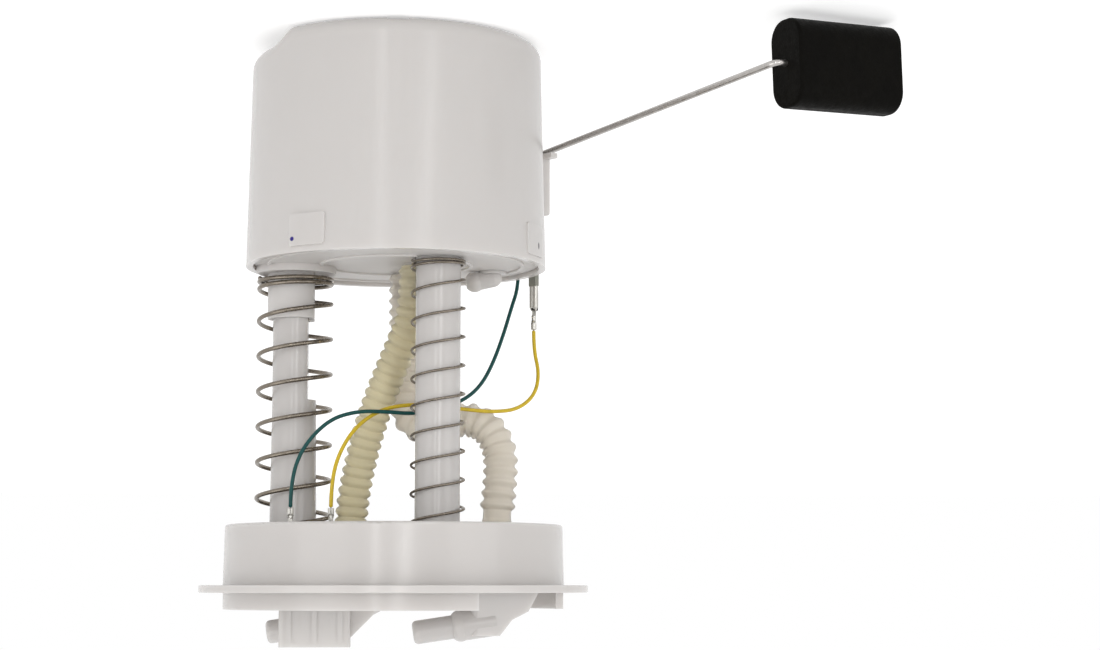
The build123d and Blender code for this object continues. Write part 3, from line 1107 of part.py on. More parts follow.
# ---------------------------------------------------------------- crimped terminals
def terminal(mouth, along, wide, blade_w, blade_t):
    """A push-on receptacle with its wire crimp; it runs from the mouth towards the wire."""
    frame = Plane(origin=mouth, x_dir=wide, z_dir=along)
    with BuildPart() as piece:
        with BuildSketch(frame):
            RectangleRounded(TERMINAL_W, TERMINAL_T, TERMINAL_CORNER_R)
        extrude(amount=TERMINAL_H - NECK_FROM)
        with BuildSketch(frame.offset(TERMINAL_H - NECK_FROM)):
            Rectangle(NECK_W, NECK_T)
        extrude(amount=NECK_H)
        with BuildSketch(frame.offset(TERMINAL_H + CRIMP_ROOT)):
            Circle(CRIMP_R * WAIST)
        extrude(amount=CRIMP_H - CRIMP_ROOT)
        for band in (CRIMP_ROOT, CRIMP_H - CRIMP_BAND):
            with BuildSketch(frame.offset(TERMINAL_H + band)):
                Circle(CRIMP_R)
            extrude(amount=CRIMP_BAND)
        with BuildSketch(frame):
            Rectangle(blade_w + 2 * PUSH_GAP, blade_t + 2 * PUSH_GAP)
        extrude(amount=TERMINAL_H - NECK_FROM - PUSH_GAP, mode=Mode.SUBTRACT)
    return piece.part


mouth_z = FLANGE_CRIMP_Z + CRIMP_H + TERMINAL_H
for name, x in (("yellow_terminal_upper", blade_xs[0]), ("green_terminal_upper", blade_xs[-1])):
    save(terminal((x, CONNECTOR_Y, mouth_z), (0, 0, -1), (1, 0, 0), BLADE_W, BLADE_T), name)
for name, s, z in (("yellow_terminal_lower", POST_S, POST_TOP_Z),
                   ("green_terminal_lower", GREEN_POST_S, GREEN_POST_TOP)):
    save(terminal(sender_point(TERMINAL_AXIS, s, z), (0, 0, 1), ALONG, SENDER_BLADE_W,
                  SENDER_BLADE_T), name)

# ---------------------------------------------------------------- float
with BuildPart() as float_body:
    with BuildSketch(float_plane):
        RectangleRounded(FLOAT_W, FLOAT_H, FLOAT_CORNER_R)
    extrude(amount=FLOAT_L)
    end_edges = float_body.edges().filter_by(lambda edge: abs((edge @ 0 - edge @ 1).dot(float_dir)) < 0.01)
    fillet(end_edges, radius=FLOAT_EDGE_R)
    with BuildSketch(float_plane):
        Circle(ARM_R + PUSH_GAP)
    extrude(amount=ARM_IN_FLOAT, mode=Mode.SUBTRACT)
save(float_body.part, "float_body")

# ---------------------------------------------------------------- hoses and wires
supply_route = [
    (SUPPLY_X, SUPPLY_Y, DECK_Z - HOSE_END_GAP), (SUPPLY_X, SUPPLY_Y, -22), (-36, 3.2, -38),
    (-35.5, 5.6, -47.5), (-30.5, 8, -55), (-23, 10.3, -56.8), (-15.5, 12.5, -54.8), (-9, 14.8, -53.8),
    (-4.6, 17, -57.3), (-3.4, 18.8, -64), (-3.3, 21, -74), (SUPPLY_LOW_X, SUPPLY_LOW_Y, -87),
    (SUPPLY_LOW_X, SUPPLY_LOW_Y, LID_Z + HOSE_END_GAP),
]
return_route = [
    (RETURN_X, RETURN_Y, DECK_Z - HOSE_END_GAP), (RETURN_X, RETURN_Y, -22), (12, 14, -42),
    (6.5, 9.4, -61), (-0.5, 3.9, -78), (RETURN_LOW_X, RETURN_LOW_Y, -91.5),
    (RETURN_LOW_X, RETURN_LOW_Y, LID_Z + HOSE_END_GAP),
]
green_end = sender_point(TERMINAL_AXIS, GREEN_POST_S, GREEN_POST_TOP + TERMINAL_H + CRIMP_H)
yellow_end = sender_point(TERMINAL_AXIS, POST_S, POST_TOP_Z + TERMINAL_H + CRIMP_H)
green_route = [
    (blade_xs[-1], CONNECTOR_Y, FLANGE_CRIMP_Z), (blade_xs[-1], CONNECTOR_Y, -33), (31, -20.3, -44),
    (22.5, -17.5, -54),
    (13, -13, -57.5), (3, -9.6, -57.6), (-6, -7.3, -57), (-15, -6, -59), (-23, -2.5, -62), (-29, 4, -67.5),
    (-33.5, 11.5, -76), (-37.5, 19, -87), (-40.5, 25.5, -97),
    (green_end.X, green_end.Y, -105), tuple(green_end),
]
yellow_route = [
    (blade_xs[0], CONNECTOR_Y, FLANGE_CRIMP_Z), (blade_xs[0], CONNECTOR_Y, -32), (19, -18.5, -42),
    (13.5, -13.5, -52),
    (5, -7.8, -58.5), (-5, -5.2, -60.5), (-14.5, -4.2, -60), (-24, -1.5, -59), (-33, 3.5, -58.6),
    (-42, 10.5, -60), (-48.3, 16.5, -65.5), (-50, 20.5, -73.5),
    (yellow_end.X, yellow_end.Y, -82), tuple(yellow_end),
]
for name, route, radius, bore in (
    ("supply_hose", supply_route, SUPPLY_HOSE_R, HOSE_BORE_R),
    ("return_hose", return_route, RETURN_HOSE_R, HOSE_BORE_R),
    ("green_wire", green_route, WIRE_R, 0.0),
    ("yellow_wire", yellow_route, WIRE_R, 0.0),
):
    save(route_tube(name, route, radius, bore), name)
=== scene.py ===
# %% [markdown]
# # An in-tank fuel pump module
# The module hangs from a round flange that closes the opening of a fuel tank. Two guide columns and their
# springs press a pump pot on to the tank's floor, and hoses and wires join the two halves. The solids come
# ready made as a fixed frame, in metres, with +Z up out of the tank. This script gives every piece its finish
# and makes anew what a plain solid can't show: corrugated hoses, wires, springs and crimped terminals.

# %% Load the frame
import json
import math

import bmesh
import bpy
import numpy as np
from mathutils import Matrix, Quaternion, Vector


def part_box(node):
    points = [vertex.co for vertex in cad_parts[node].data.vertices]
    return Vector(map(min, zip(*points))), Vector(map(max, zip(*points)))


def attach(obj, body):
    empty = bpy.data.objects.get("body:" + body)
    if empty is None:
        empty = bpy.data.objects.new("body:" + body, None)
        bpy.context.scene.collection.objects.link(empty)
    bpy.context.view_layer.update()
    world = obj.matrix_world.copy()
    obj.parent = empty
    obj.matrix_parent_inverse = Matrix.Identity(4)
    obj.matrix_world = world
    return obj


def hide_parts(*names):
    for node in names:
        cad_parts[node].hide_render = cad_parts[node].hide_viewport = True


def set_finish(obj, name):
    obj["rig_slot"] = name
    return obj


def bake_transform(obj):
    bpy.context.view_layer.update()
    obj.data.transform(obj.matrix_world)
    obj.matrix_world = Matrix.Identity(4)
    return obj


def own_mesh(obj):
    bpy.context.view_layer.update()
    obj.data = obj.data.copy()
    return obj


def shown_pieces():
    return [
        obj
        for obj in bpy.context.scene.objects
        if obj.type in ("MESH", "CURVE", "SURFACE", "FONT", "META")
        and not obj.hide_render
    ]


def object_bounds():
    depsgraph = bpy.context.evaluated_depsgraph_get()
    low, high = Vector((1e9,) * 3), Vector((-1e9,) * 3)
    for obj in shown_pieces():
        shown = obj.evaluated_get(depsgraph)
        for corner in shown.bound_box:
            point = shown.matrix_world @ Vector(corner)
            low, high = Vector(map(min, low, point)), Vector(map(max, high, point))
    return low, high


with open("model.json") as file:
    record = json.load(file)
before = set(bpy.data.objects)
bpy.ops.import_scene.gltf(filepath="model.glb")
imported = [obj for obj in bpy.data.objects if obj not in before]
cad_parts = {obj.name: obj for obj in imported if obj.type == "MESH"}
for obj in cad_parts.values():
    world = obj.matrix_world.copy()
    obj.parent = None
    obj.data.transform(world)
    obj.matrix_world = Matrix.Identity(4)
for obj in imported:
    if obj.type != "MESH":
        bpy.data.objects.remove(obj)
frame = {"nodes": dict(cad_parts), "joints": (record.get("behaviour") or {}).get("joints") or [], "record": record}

MM = 0.001
solid_low, solid_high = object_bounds()


def in_mm(point):
    """A point in millimetres, rounded for printing."""
    return [round(value / MM, 1) for value in point]


print("solids reach from", in_mm(solid_low), "to", in_mm(solid_high), "mm")

# %% [markdown]
# ## The camera
# The module is shown standing on its flange, upside down, while the frame is the right way up. Turning the
# module over would move the solids, so the camera is rolled by half a turn instead. It stands level with the
# sealing face and looks a little down at the pot. A long lens from far off keeps the perspective calm, where a
# wide lens close by would bend the tall pot out of shape.

# %% Place the camera
CAMERA_DISTANCE = 0.802
CAMERA_YAW = math.radians(3.74)
CAMERA_PITCH = math.radians(6.26)
CAMERA_LENS = 77.6

forward = Vector((
    -math.sin(CAMERA_YAW) * math.cos(CAMERA_PITCH),
    math.cos(CAMERA_YAW) * math.cos(CAMERA_PITCH),
    -math.sin(CAMERA_PITCH),
))
camera_data = bpy.data.cameras.new("camera")
camera_data.lens = CAMERA_LENS
camera = bpy.data.objects.new("camera", camera_data)
camera.location = (0, -CAMERA_DISTANCE, 0)
camera.rotation_mode = "QUATERNION"
camera.rotation_quaternion = forward.to_track_quat("-Z", "Y") @ Quaternion((0, 0, 1), math.pi)
bpy.context.scene.collection.objects.link(camera)
bpy.context.scene.camera = camera
print("camera", CAMERA_DISTANCE, "m in front of the drum's axis, lens", CAMERA_LENS, "mm")

# %% [markdown]
# ## Surfaces from grids
# Hoses, wires, springs and terminals could be built from curves and modifiers. Here each is a grid of points
# worked out with numpy, because a formula can say how the profile changes along the piece. One parameter runs
# along the piece and the other round it. Joining neighbours gives quads, and wrapping the last row or column on
# to the first closes the surface. Rows that shrink to a point are welded, so that ends are closed too. The
# grid's own two parameters become the UV map, which lets a finish follow the piece wherever it bends.

# %% Make a mesh from a grid
scene_collection = bpy.context.scene.collection
WELD_DISTANCE = 1e-7


def surface(name, grid, wrap_rows=False, wrap_columns=True, attributes=None):
    """Join a grid of points, rows by columns, into a smooth mesh whose faces point outwards.

    UV x goes once round the columns and UV y once along the rows. attributes holds one number per point.
    """
    rows, columns = grid.shape[:2]
    index = np.arange(rows * columns).reshape(rows, columns)
    if wrap_rows:
        index = np.vstack([index, index[:1]])
    if wrap_columns:
        index = np.hstack([index, index[:, :1]])
    corners = [index[:-1, :-1], index[:-1, 1:], index[1:, 1:], index[1:, :-1]]
    quads = np.stack(corners, axis=-1).reshape(-1, 4)
    mesh = bpy.data.meshes.new(name)
    mesh.from_pydata(grid.reshape(-1, 3).tolist(), [], quads.tolist())
    across, along = np.meshgrid(
        np.linspace(0, 1, index.shape[1]), np.linspace(0, 1, index.shape[0])
    )
    uv = np.stack([across, along], axis=-1)
    corner_uv = np.stack([uv[:-1, :-1], uv[:-1, 1:], uv[1:, 1:], uv[1:, :-1]], axis=2)
    mesh.uv_layers.new(name="UVMap").data.foreach_set("uv", corner_uv.ravel())
    for key, values in (attributes or {}).items():
        mesh.attributes.new(key, "FLOAT", "POINT").data.foreach_set("value", values.ravel())
    work = bmesh.new()
    work.from_mesh(mesh)
    bmesh.ops.remove_doubles(work, verts=work.verts, dist=WELD_DISTANCE)
    bmesh.ops.recalc_face_normals(work, faces=work.faces)
    work.to_mesh(mesh)
    work.free()
    mesh.shade_smooth()
    piece = bpy.data.objects.new(name, mesh)
    scene_collection.objects.link(piece)
    print(name, len(mesh.vertices), "points,", len(mesh.polygons), "faces")
    return piece


# %% [markdown]
# ## Smooth lines and what is carried along them
# A hose or a wire is settled by a few points along its route. They are the control points of one NURBS
# spline, which bends evenly and passes near them. The line is then measured along its length, so that a
# pattern keeps its pitch, and a ring is set square to the line at each step. The ring's sideways direction
# is the cross product of the line's direction and one fixed direction that the line never follows, which
# keeps the tube from twisting and needs no loop.

# %% Read a route's spline and carry a profile along it
SPLINE_STEPS = 32


def route_line(name, points):
    """Points along the NURBS spline of order 3 whose control points are the route's, in metres."""
    curve = bpy.data.curves.new(name, "CURVE")
    curve.dimensions = "3D"
    curve.resolution_u = SPLINE_STEPS
    spline = curve.splines.new("NURBS")
    spline.points.add(len(points) - 1)
    weighted = np.hstack([np.array(points) * MM, np.ones((len(points), 1))])
    spline.points.foreach_set("co", weighted.ravel())
    spline.order_u = 3
    spline.use_endpoint_u = True
    holder = bpy.data.objects.new(name, curve)
    mesh = bpy.data.meshes.new_from_object(holder)
    line = np.empty(len(mesh.vertices) * 3)
    mesh.vertices.foreach_get("co", line)
    bpy.data.objects.remove(holder)
    bpy.data.curves.remove(curve)
    bpy.data.meshes.remove(mesh)
    return line.reshape(-1, 3)


def even_steps(line, step):
    """The same line at even steps of arc length, and the length of the line up to each point."""
    runs = np.linalg.norm(np.diff(line, axis=0), axis=1)
    reached = np.concatenate([[0], np.cumsum(runs)])
    even = np.linspace(0, reached[-1], math.ceil(reached[-1] / step) + 1)
    points = np.stack([np.interp(even, reached, line[:, axis]) for axis in range(3)], axis=1)
    return points, even


def rings(line, radii, fixed, sides):
    """Rings of points round a line: line + radius * (side * cos(angle) + lift * sin(angle)).

    The side is the unit cross product of the line's direction and the fixed direction, and the lift is the
    unit cross product of the side and the line's direction.
    """
    direction = np.gradient(line, axis=0)
    direction /= np.linalg.norm(direction, axis=1, keepdims=True)
    side = np.cross(direction, fixed)
    side /= np.linalg.norm(side, axis=1, keepdims=True)
    lift = np.cross(side, direction)
    angle = np.linspace(0, 2 * math.pi, sides, endpoint=False)
    spokes = side[:, None] * np.cos(angle)[:, None] + lift[:, None] * np.sin(angle)[:, None]
    return line[:, None] + spokes * radii[:, None, None]


def rod(name, line, along, radius, fixed, sides):
    """A round rod with domed ends: near an end the radius is that of a half ball."""
    from_end = np.minimum(along, along[-1] - along)
    inside = np.clip(1 - from_end / radius, 0, 1)
    radii = radius * np.sqrt(1 - inside**2)
    return surface(name, rings(line, radii, fixed, sides))


# %% [markdown]
# ## The two hoses
# Both hoses are corrugated plastic tube, which bends tightly without kinking: one carries the fuel up from the
# pump, and the other brings back what the engine leaves. A row of rings could be bent along a curve, but a
# radius worked out at every step keeps its pitch through the bends and can change towards the ends. It is a
# power of a raised cosine: a power of one makes even waves, and a half makes broad crests with sharp valleys
# between them. Where a hose is pushed over a nipple its wall is stretched, so the valleys are filled there,
# and one hose has a plain cuff with a small lip. The bore is a second wall that follows the first, and the
# profile runs out along one and back along the other, so that the hose is a closed sleeve.

# %% Make the hoses
NIPPLE_FIT_R = 4.4 * MM
STRETCHED_R = 4.85 * MM
HOSE_WALL = 0.7 * MM
HOSE_STEP = 0.25 * MM
HOSE_SIDES = 44
HOSE_FIXED = (-0.4, 0.9, 0.0)
FLANGE_NIPPLE, LID_NIPPLE = 15 * MM, 11.5 * MM
FIT_BLEND = 2 * MM
CUFF_R = STRETCHED_R - 0.1 * MM
LIP_AT, LIP_WIDTH, LIP_HEIGHT = 20.6 * MM, 0.7 * MM, 0.25 * MM
CUFF_TONE, BORE_TONE = 0.4, 0.3

SUPPLY_ROUTE = [
    (-34.2, 2, -0.8), (-34.2, 2, -22), (-36, 3.2, -38), (-35.5, 5.6, -47.5), (-30.5, 8, -55),
    (-23, 10.3, -56.8), (-15.5, 12.5, -54.8), (-9, 14.8, -53.8), (-4.6, 17, -57.3), (-3.4, 18.8, -64),
    (-3.3, 21, -74), (-3.5, 22.5, -87), (-3.5, 22.5, -107.6),
]
RETURN_ROUTE = [
    (15.4, 16, -0.8), (15.4, 16, -22), (12, 14, -42), (6.5, 9.4, -61), (-0.5, 3.9, -78), (-6.5, -2, -91.5),
    (-6.5, -2, -107.6),
]


def smoothstep(value):
    """0 below 0, 1 above 1, and 3 v^2 - 2 v^3 between them."""
    v = np.clip(value, 0, 1)
    return v * v * (3 - 2 * v)


def hose(name, route, crest_r, valley_r, pitch, power, cuff):
    """A corrugated sleeve: radius = valley + (crest - valley) * (half of 1 + cosine) ** power.

    Over the nipples the radius never falls below the stretched wall's, and the inner wall is as wide as the
    nipple. Elsewhere the inner wall is one wall inside the outer. A cuff is plain, with a bell-shaped lip:
    height * exp(-(distance / width) ** 2). Each ring stores how near it is to a crest, for the finish.
    """
    line, along = even_steps(route_line(name, route), HOSE_STEP)
    wave = (0.5 + 0.5 * np.cos(2 * math.pi * (along - cuff) / pitch)) ** power
    outer = valley_r + (crest_r - valley_r) * wave
    left = along[-1] - along
    fitted = np.maximum(1 - smoothstep((along - FLANGE_NIPPLE) / FIT_BLEND),
                        1 - smoothstep((left - LID_NIPPLE) / FIT_BLEND))
    outer = np.maximum(outer, STRETCHED_R - (STRETCHED_R - valley_r) * (1 - fitted))
    crest = wave.copy()
    if cuff > 0:
        plain = 1 - smoothstep((along - cuff + pitch / 2) / (pitch / 4))
        lip = LIP_HEIGHT * np.exp(-(((along - LIP_AT) / LIP_WIDTH) ** 2))
        outer = outer * (1 - plain) + (CUFF_R + lip) * plain
        crest = crest * (1 - plain) + CUFF_TONE * plain
    inner = (outer - HOSE_WALL) * (1 - fitted) + NIPPLE_FIT_R * fitted
    grid = np.concatenate([
        rings(line, outer, HOSE_FIXED, HOSE_SIDES),
        rings(line, inner, HOSE_FIXED, HOSE_SIDES)[::-1],
    ])
    crest = np.concatenate([crest, np.full(len(along), BORE_TONE)])
    crest = np.repeat(crest[:, None], HOSE_SIDES, axis=1)
    piece = surface(name, grid, wrap_rows=True, attributes={"crest": crest})
    print("  length", round(along[-1] / MM, 1), "mm,", len(grid), "rings")
    return piece, line, along[-1]


HOSES = {
    "supply_hose": dict(route=SUPPLY_ROUTE, crest_r=6.0 * MM, valley_r=4.8 * MM, pitch=3.85 * MM, power=1.0,
                        cuff=26 * MM),
    "return_hose": dict(route=RETURN_ROUTE, crest_r=5.7 * MM, valley_r=4.5 * MM, pitch=3.45 * MM, power=0.5,
                        cuff=0.0),
}
HOSE_SLOTS = {"supply_hose": "hose_clear", "return_hose": "hose_cream"}
for node, shape in HOSES.items():
    piece, line, length = hose(node + "_corrugated", **shape)
    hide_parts(node)
    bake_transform(piece)
    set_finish(piece, HOSE_SLOTS[node])

# %% [markdown]
# ## The two wires
# The level sender is read through two thin insulated wires. They leave crimped terminals under the flange,
# cross in front of the hoses and end in terminals on the sender. A bevelled curve would look the same, but the
# rod made above has domed ends and a UV map along the wire.

# %% Make the wires
WIRE_R = 0.65 * MM
WIRE_STEP = 0.6 * MM
WIRE_SIDES = 20

GREEN_ROUTE = [
    (34.0, -21, -25), (34.0, -21, -33), (31, -20.3, -44), (22.5, -17.5, -54), (13, -13, -57.5),
    (3, -9.6, -57.6), (-6, -7.3, -57), (-15, -6, -59), (-23, -2.5, -62), (-29, 4, -67.5),
    (-33.5, 11.5, -76), (-37.5, 19, -87), (-40.5, 25.5, -97), (-43.15, 30.54, -105), (-43.15, 30.54, -111.6),
]
YELLOW_ROUTE = [
    (20.8, -21, -25), (20.8, -21, -32), (19, -18.5, -42), (13.5, -13.5, -52), (5, -7.8, -58.5),
    (-5, -5.2, -60.5), (-14.5, -4.2, -60), (-24, -1.5, -59), (-33, 3.5, -58.6), (-42, 10.5, -60),
    (-48.3, 16.5, -65.5), (-50, 20.5, -73.5), (-48.26, 24.0, -82), (-48.26, 24.0, -89.1),
]

for node, slot, route, fixed in (
    ("green_wire", "wire_green", GREEN_ROUTE, (0.62, 0.78, 0.0)),
    ("yellow_wire", "wire_yellow", YELLOW_ROUTE, (0.80, 0.60, 0.0)),
):
    line, along = even_steps(route_line(node, route), WIRE_STEP)
    piece = rod(node + "_line", line, along, WIRE_R, fixed, WIRE_SIDES)
    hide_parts(node)
    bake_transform(piece)
    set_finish(piece, slot)
    print("  length", round(along[-1] / MM, 1), "mm")

# %% [markdown]
# ## The two springs
# The springs press the pot on to the tank's floor. A compression spring is a wire on a helix, which the Screw
# modifier could wind, but its end turns are closed and a screw has one pitch. So the rise per turn is one wire
# at the ends and the full pitch between, with a soft change from one to the other, and the height is the
# running sum of that rise. Two closed turns sit on the lid, and one is under the flange. A spring can't follow
# the pot as a rigid piece, so it moves with the flange.

# %% Wind the springs
SPRING_SIDES = 16
STEPS_PER_TURN = 56
CLOSED_LOW, CLOSED_HIGH = 2.0, 1.0
CLOSED_RISE = 1.04
SOFT_TURNS = 0.5


def spring(node, column, wire, open_turns):
    """A closed-end helix: angle grows evenly, and height is the running sum of the rise at each turn.

    The rise per turn is CLOSED_RISE wires, plus a share of the spare height where the turns are open.
    """
    low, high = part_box(node)
    column_low, column_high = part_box(column)
    centre = (np.array(column_low) + np.array(column_high)) / 2
    radius = (high[0] - low[0]) / 2 - wire / 2
    turns = CLOSED_LOW + open_turns + CLOSED_HIGH
    turn = np.linspace(0, turns, int(turns * STEPS_PER_TURN))
    is_open = smoothstep(turn - CLOSED_LOW + SOFT_TURNS) * smoothstep(turns - CLOSED_HIGH - turn + SOFT_TURNS)
    closed_rise = wire * CLOSED_RISE
    share = np.concatenate([[0], np.cumsum((is_open[1:] + is_open[:-1]) / 2 * np.diff(turn))])
    spare = high[2] - low[2] - wire - closed_rise * turns
    height = low[2] + wire / 2 + closed_rise * turn + spare * share / share[-1]
    angle = 2 * math.pi * turn
    line = np.stack([centre[0] + radius * np.cos(angle), centre[1] + radius * np.sin(angle), height], axis=1)
    along = np.concatenate([[0], np.cumsum(np.linalg.norm(np.diff(line, axis=0), axis=1))])
    piece = rod(node + "_coil", line, along, wire / 2, (0.0, 0.0, 1.0), SPRING_SIDES)
    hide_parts(node)
    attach(piece, "flange")
    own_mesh(piece)
    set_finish(piece, "spring_steel")
    print("  coil", round(2 * (radius + wire / 2) / MM, 1), "mm wide")


spring("spring_small", "guide_column_small", wire=0.9 * MM, open_turns=10.96)
spring("spring_big", "guide_column_big", wire=1.5 * MM, open_turns=8.20)

# %% [markdown]
# ## The crimped terminals
# Each wire ends in a push-on terminal, which is one strip of tinned sheet, cut and rolled in a press. It could
# be modelled by hand from a plane, but its profile is simple: a flat middle and an arc at each side. Three
# numbers say it all: the flat's half width, the arc's radius and how far round the arc goes. Wide and rolled
# in it is the receptacle, small and open it is the neck, and closed to a ring it is a crimp round the wire. So
# the sheet is a surface of two parameters, along the terminal and across the strip, with those three numbers
# changing along it. Solidify then gives the sheet its thickness.

# %% Form the terminals
SHEET_T = 0.28 * MM
STATIONS = np.array([0.0, 7.5, 8.7, 10.2, 10.8, 12.2, 12.7, 13.0, 13.5, 15.4]) * MM
FLAT_HALF = np.array([0.85, 0.85, 0.55, 0.55, 0.06, 0.06, 0.30, 0.30, 0.06, 0.06]) * MM
ARC_R = np.array([0.80, 0.80, 0.40, 0.40, 0.60, 0.60, 0.62, 0.62, 0.84, 0.84]) * MM
ARC_TURN = np.radians([255.0, 255.0, 80.0, 80.0, 170.0, 170.0, 110.0, 110.0, 172.0, 172.0])
FLAT_SHARE = 0.3
STEPS_ALONG, STEPS_ACROSS = 90, 61


def terminal(node, body, wide, upwards):
    """A strip carried along the terminal: a flat middle, then an arc on each side.

    Across the strip w runs from -1 to 1. Within the flat share x = flat * w / FLAT_SHARE, and past it the
    arc turns by its angle: x = flat + r sin(turn), y = r (1 - cos(turn)), less r so that a closed ring is
    centred on the wire.
    """
    low, high = (np.array(corner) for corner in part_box(node))
    centre = (low + high) / 2
    mouth = np.array([centre[0], centre[1], low[2] if upwards else high[2]])
    axis = np.array([0.0, 0.0, 1.0 if upwards else -1.0])
    wide = np.array(wide)
    thick = np.cross(axis, wide)
    along = np.linspace(0, STATIONS[-1], STEPS_ALONG)
    flat, radius, turn = (
        np.interp(along, STATIONS, values)[:, None] for values in (FLAT_HALF, ARC_R, ARC_TURN)
    )
    w = np.linspace(-1, 1, STEPS_ACROSS)[None]
    bend = turn * np.clip((np.abs(w) - FLAT_SHARE) / (1 - FLAT_SHARE), 0, 1)
    x = np.sign(w) * (flat * np.minimum(np.abs(w) / FLAT_SHARE, 1) + radius * np.sin(bend))
    y = radius * (1 - np.cos(bend)) - radius
    grid = mouth + x[..., None] * wide + y[..., None] * thick + along[:, None, None] * axis
    piece = surface(node + "_strip", grid, wrap_columns=False)
    sheet = piece.modifiers.new("sheet", "SOLIDIFY")
    sheet.thickness = SHEET_T
    sheet.offset = 0
    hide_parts(node)
    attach(piece, body)
    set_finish(piece, "tinned")


hinge = next(joint for joint in frame["joints"] if joint["name"] == "float_arm_hinge")
sender_wide = (-hinge["axis"][1], hinge["axis"][0], 0.0)
for colour in ("yellow", "green"):
    terminal(colour + "_terminal_upper", "flange", (1.0, 0.0, 0.0), upwards=False)
for colour in ("yellow", "green"):
    terminal(colour + "_terminal_lower", "pot", sender_wide, upwards=True)

# %% [markdown]
# A narrow black bar lies along one receptacle's outer side. It has softly rounded edges and ends. A bevelled
# cube would do, but the bar can also be a ball whose three components are raised to a power: a power of one
# leaves the ball round, and a smaller power makes it squarer.

# %% Add the black strip
SQUARENESS = 0.35
STRIP_HALVES = (0.35 * MM, 0.75 * MM, 4.1 * MM)
STRIP_OUT, STRIP_UP = 1.25 * MM, 4.6 * MM


def bar(name, centre, halves, axes, steps=24):
    """A squared ball: each half length times sign(c) |c| ** SQUARENESS, for the ball's three components c."""
    rise = np.linspace(-math.pi / 2, math.pi / 2, steps)[:, None]
    round_angle = np.linspace(0, 2 * math.pi, 2 * steps, endpoint=False)[None]
    ball = (np.cos(rise) * np.cos(round_angle), np.cos(rise) * np.sin(round_angle),
            np.sin(rise) * np.ones_like(round_angle))
    grid = np.array(centre)
    for component, half, axis in zip(ball, halves, axes):
        squared = np.sign(component) * np.abs(component) ** SQUARENESS
        grid = grid + half * squared[..., None] * np.array(axis)
    return surface(name, grid)


low, high = (np.array(corner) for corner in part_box("yellow_terminal_lower"))
outwards = (hinge["axis"][0], hinge["axis"][1], 0.0)
if np.dot(outwards[:2], (low + high)[:2]) < 0:
    outwards = (-outwards[0], -outwards[1], 0.0)
strip_centre = (low + high) / 2 + STRIP_OUT * np.array(outwards)
strip_centre[2] = low[2] + STRIP_UP
black_strip = bar("terminal_side_strip", strip_centre, STRIP_HALVES, (outwards, sender_wide, (0.0, 0.0, 1.0)))
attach(black_strip, "pot")
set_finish(black_strip, "black_plastic")

# %% [markdown]
# ## Finishes
# An image wrapped round each piece would need unwrapping and would blur close up. So every finish is made of
# nodes. Most use object coordinates, which are in metres and move with the piece, so a noise scale of 1000
# gives features of about a millimetre. A few short helpers cover what the finishes share: a new material, a
# place to look up, a noise squeezed into a range, a mix of two colours and a fine bump.

# %% Helpers for node materials


def finish(name, colour, roughness, **values):
    """A new material: its Principled shader, its node tree, and the given sockets set to plain values."""
    material = bpy.data.materials.new(name)
    material.use_nodes = True
    tree = material.node_tree
    shader = tree.nodes["Principled BSDF"]
    shader.inputs["Base Color"].default_value = (*colour, 1)
    shader.inputs["Roughness"].default_value = roughness
    for socket, value in values.items():
        shader.inputs[socket.replace("_", " ")].default_value = value
    return material, tree, shader


def place(tree, stretch=(1, 1, 1), source="Object"):
    """Texture coordinates, stretched by a Mapping node."""
    mapping = tree.nodes.new("ShaderNodeMapping")
    mapping.inputs["Scale"].default_value = stretch
    tree.links.new(tree.nodes.new("ShaderNodeTexCoord").outputs[source], mapping.inputs["Vector"])
    return mapping.outputs["Vector"]


NOISE_MIDDLE = (0.3, 0.7)


def noise(tree, where, scale, detail=3.0, low=0.0, high=1.0):
    """Noise at a place, its middle range spread from low to high."""
    texture = tree.nodes.new("ShaderNodeTexNoise")
    texture.inputs["Scale"].default_value = scale
    texture.inputs["Detail"].default_value = detail
    tree.links.new(where, texture.inputs["Vector"])
    spread = tree.nodes.new("ShaderNodeMapRange")
    spread.inputs["From Min"].default_value, spread.inputs["From Max"].default_value = NOISE_MIDDLE
    spread.inputs["To Min"].default_value = low
    spread.inputs["To Max"].default_value = high
    tree.links.new(texture.outputs["Fac"], spread.inputs["Value"])
    return spread.outputs["Result"]


def tint(tree, factor, first, second):
    """A colour between two colours, each a plain value or the output of another node."""
    mix = tree.nodes.new("ShaderNodeMix")
    mix.data_type = "RGBA"
    for socket, value in (("A", first), ("B", second)):
        target = next(s for s in mix.inputs if s.name == socket and s.type == "RGBA")
        if isinstance(value, tuple):
            target.default_value = (*value, 1)
        else:
            tree.links.new(value, target)
    tree.links.new(factor, mix.inputs["Factor"])
    return next(s for s in mix.outputs if s.type == "RGBA")


def bump(tree, shader, height, depth, strength=1.0):
    """Roughen the surface by a height of the given depth in metres."""
    node = tree.nodes.new("ShaderNodeBump")
    node.inputs["Strength"].default_value = strength
    node.inputs["Distance"].default_value = depth
    tree.links.new(height, node.inputs["Height"])
    tree.links.new(node.outputs["Normal"], shader.inputs["Normal"])


def shade(colour, factor):
    """A colour made lighter or darker by a factor."""
    return tuple(min(channel * factor, 1) for channel in colour)


print("helpers for node materials ready")
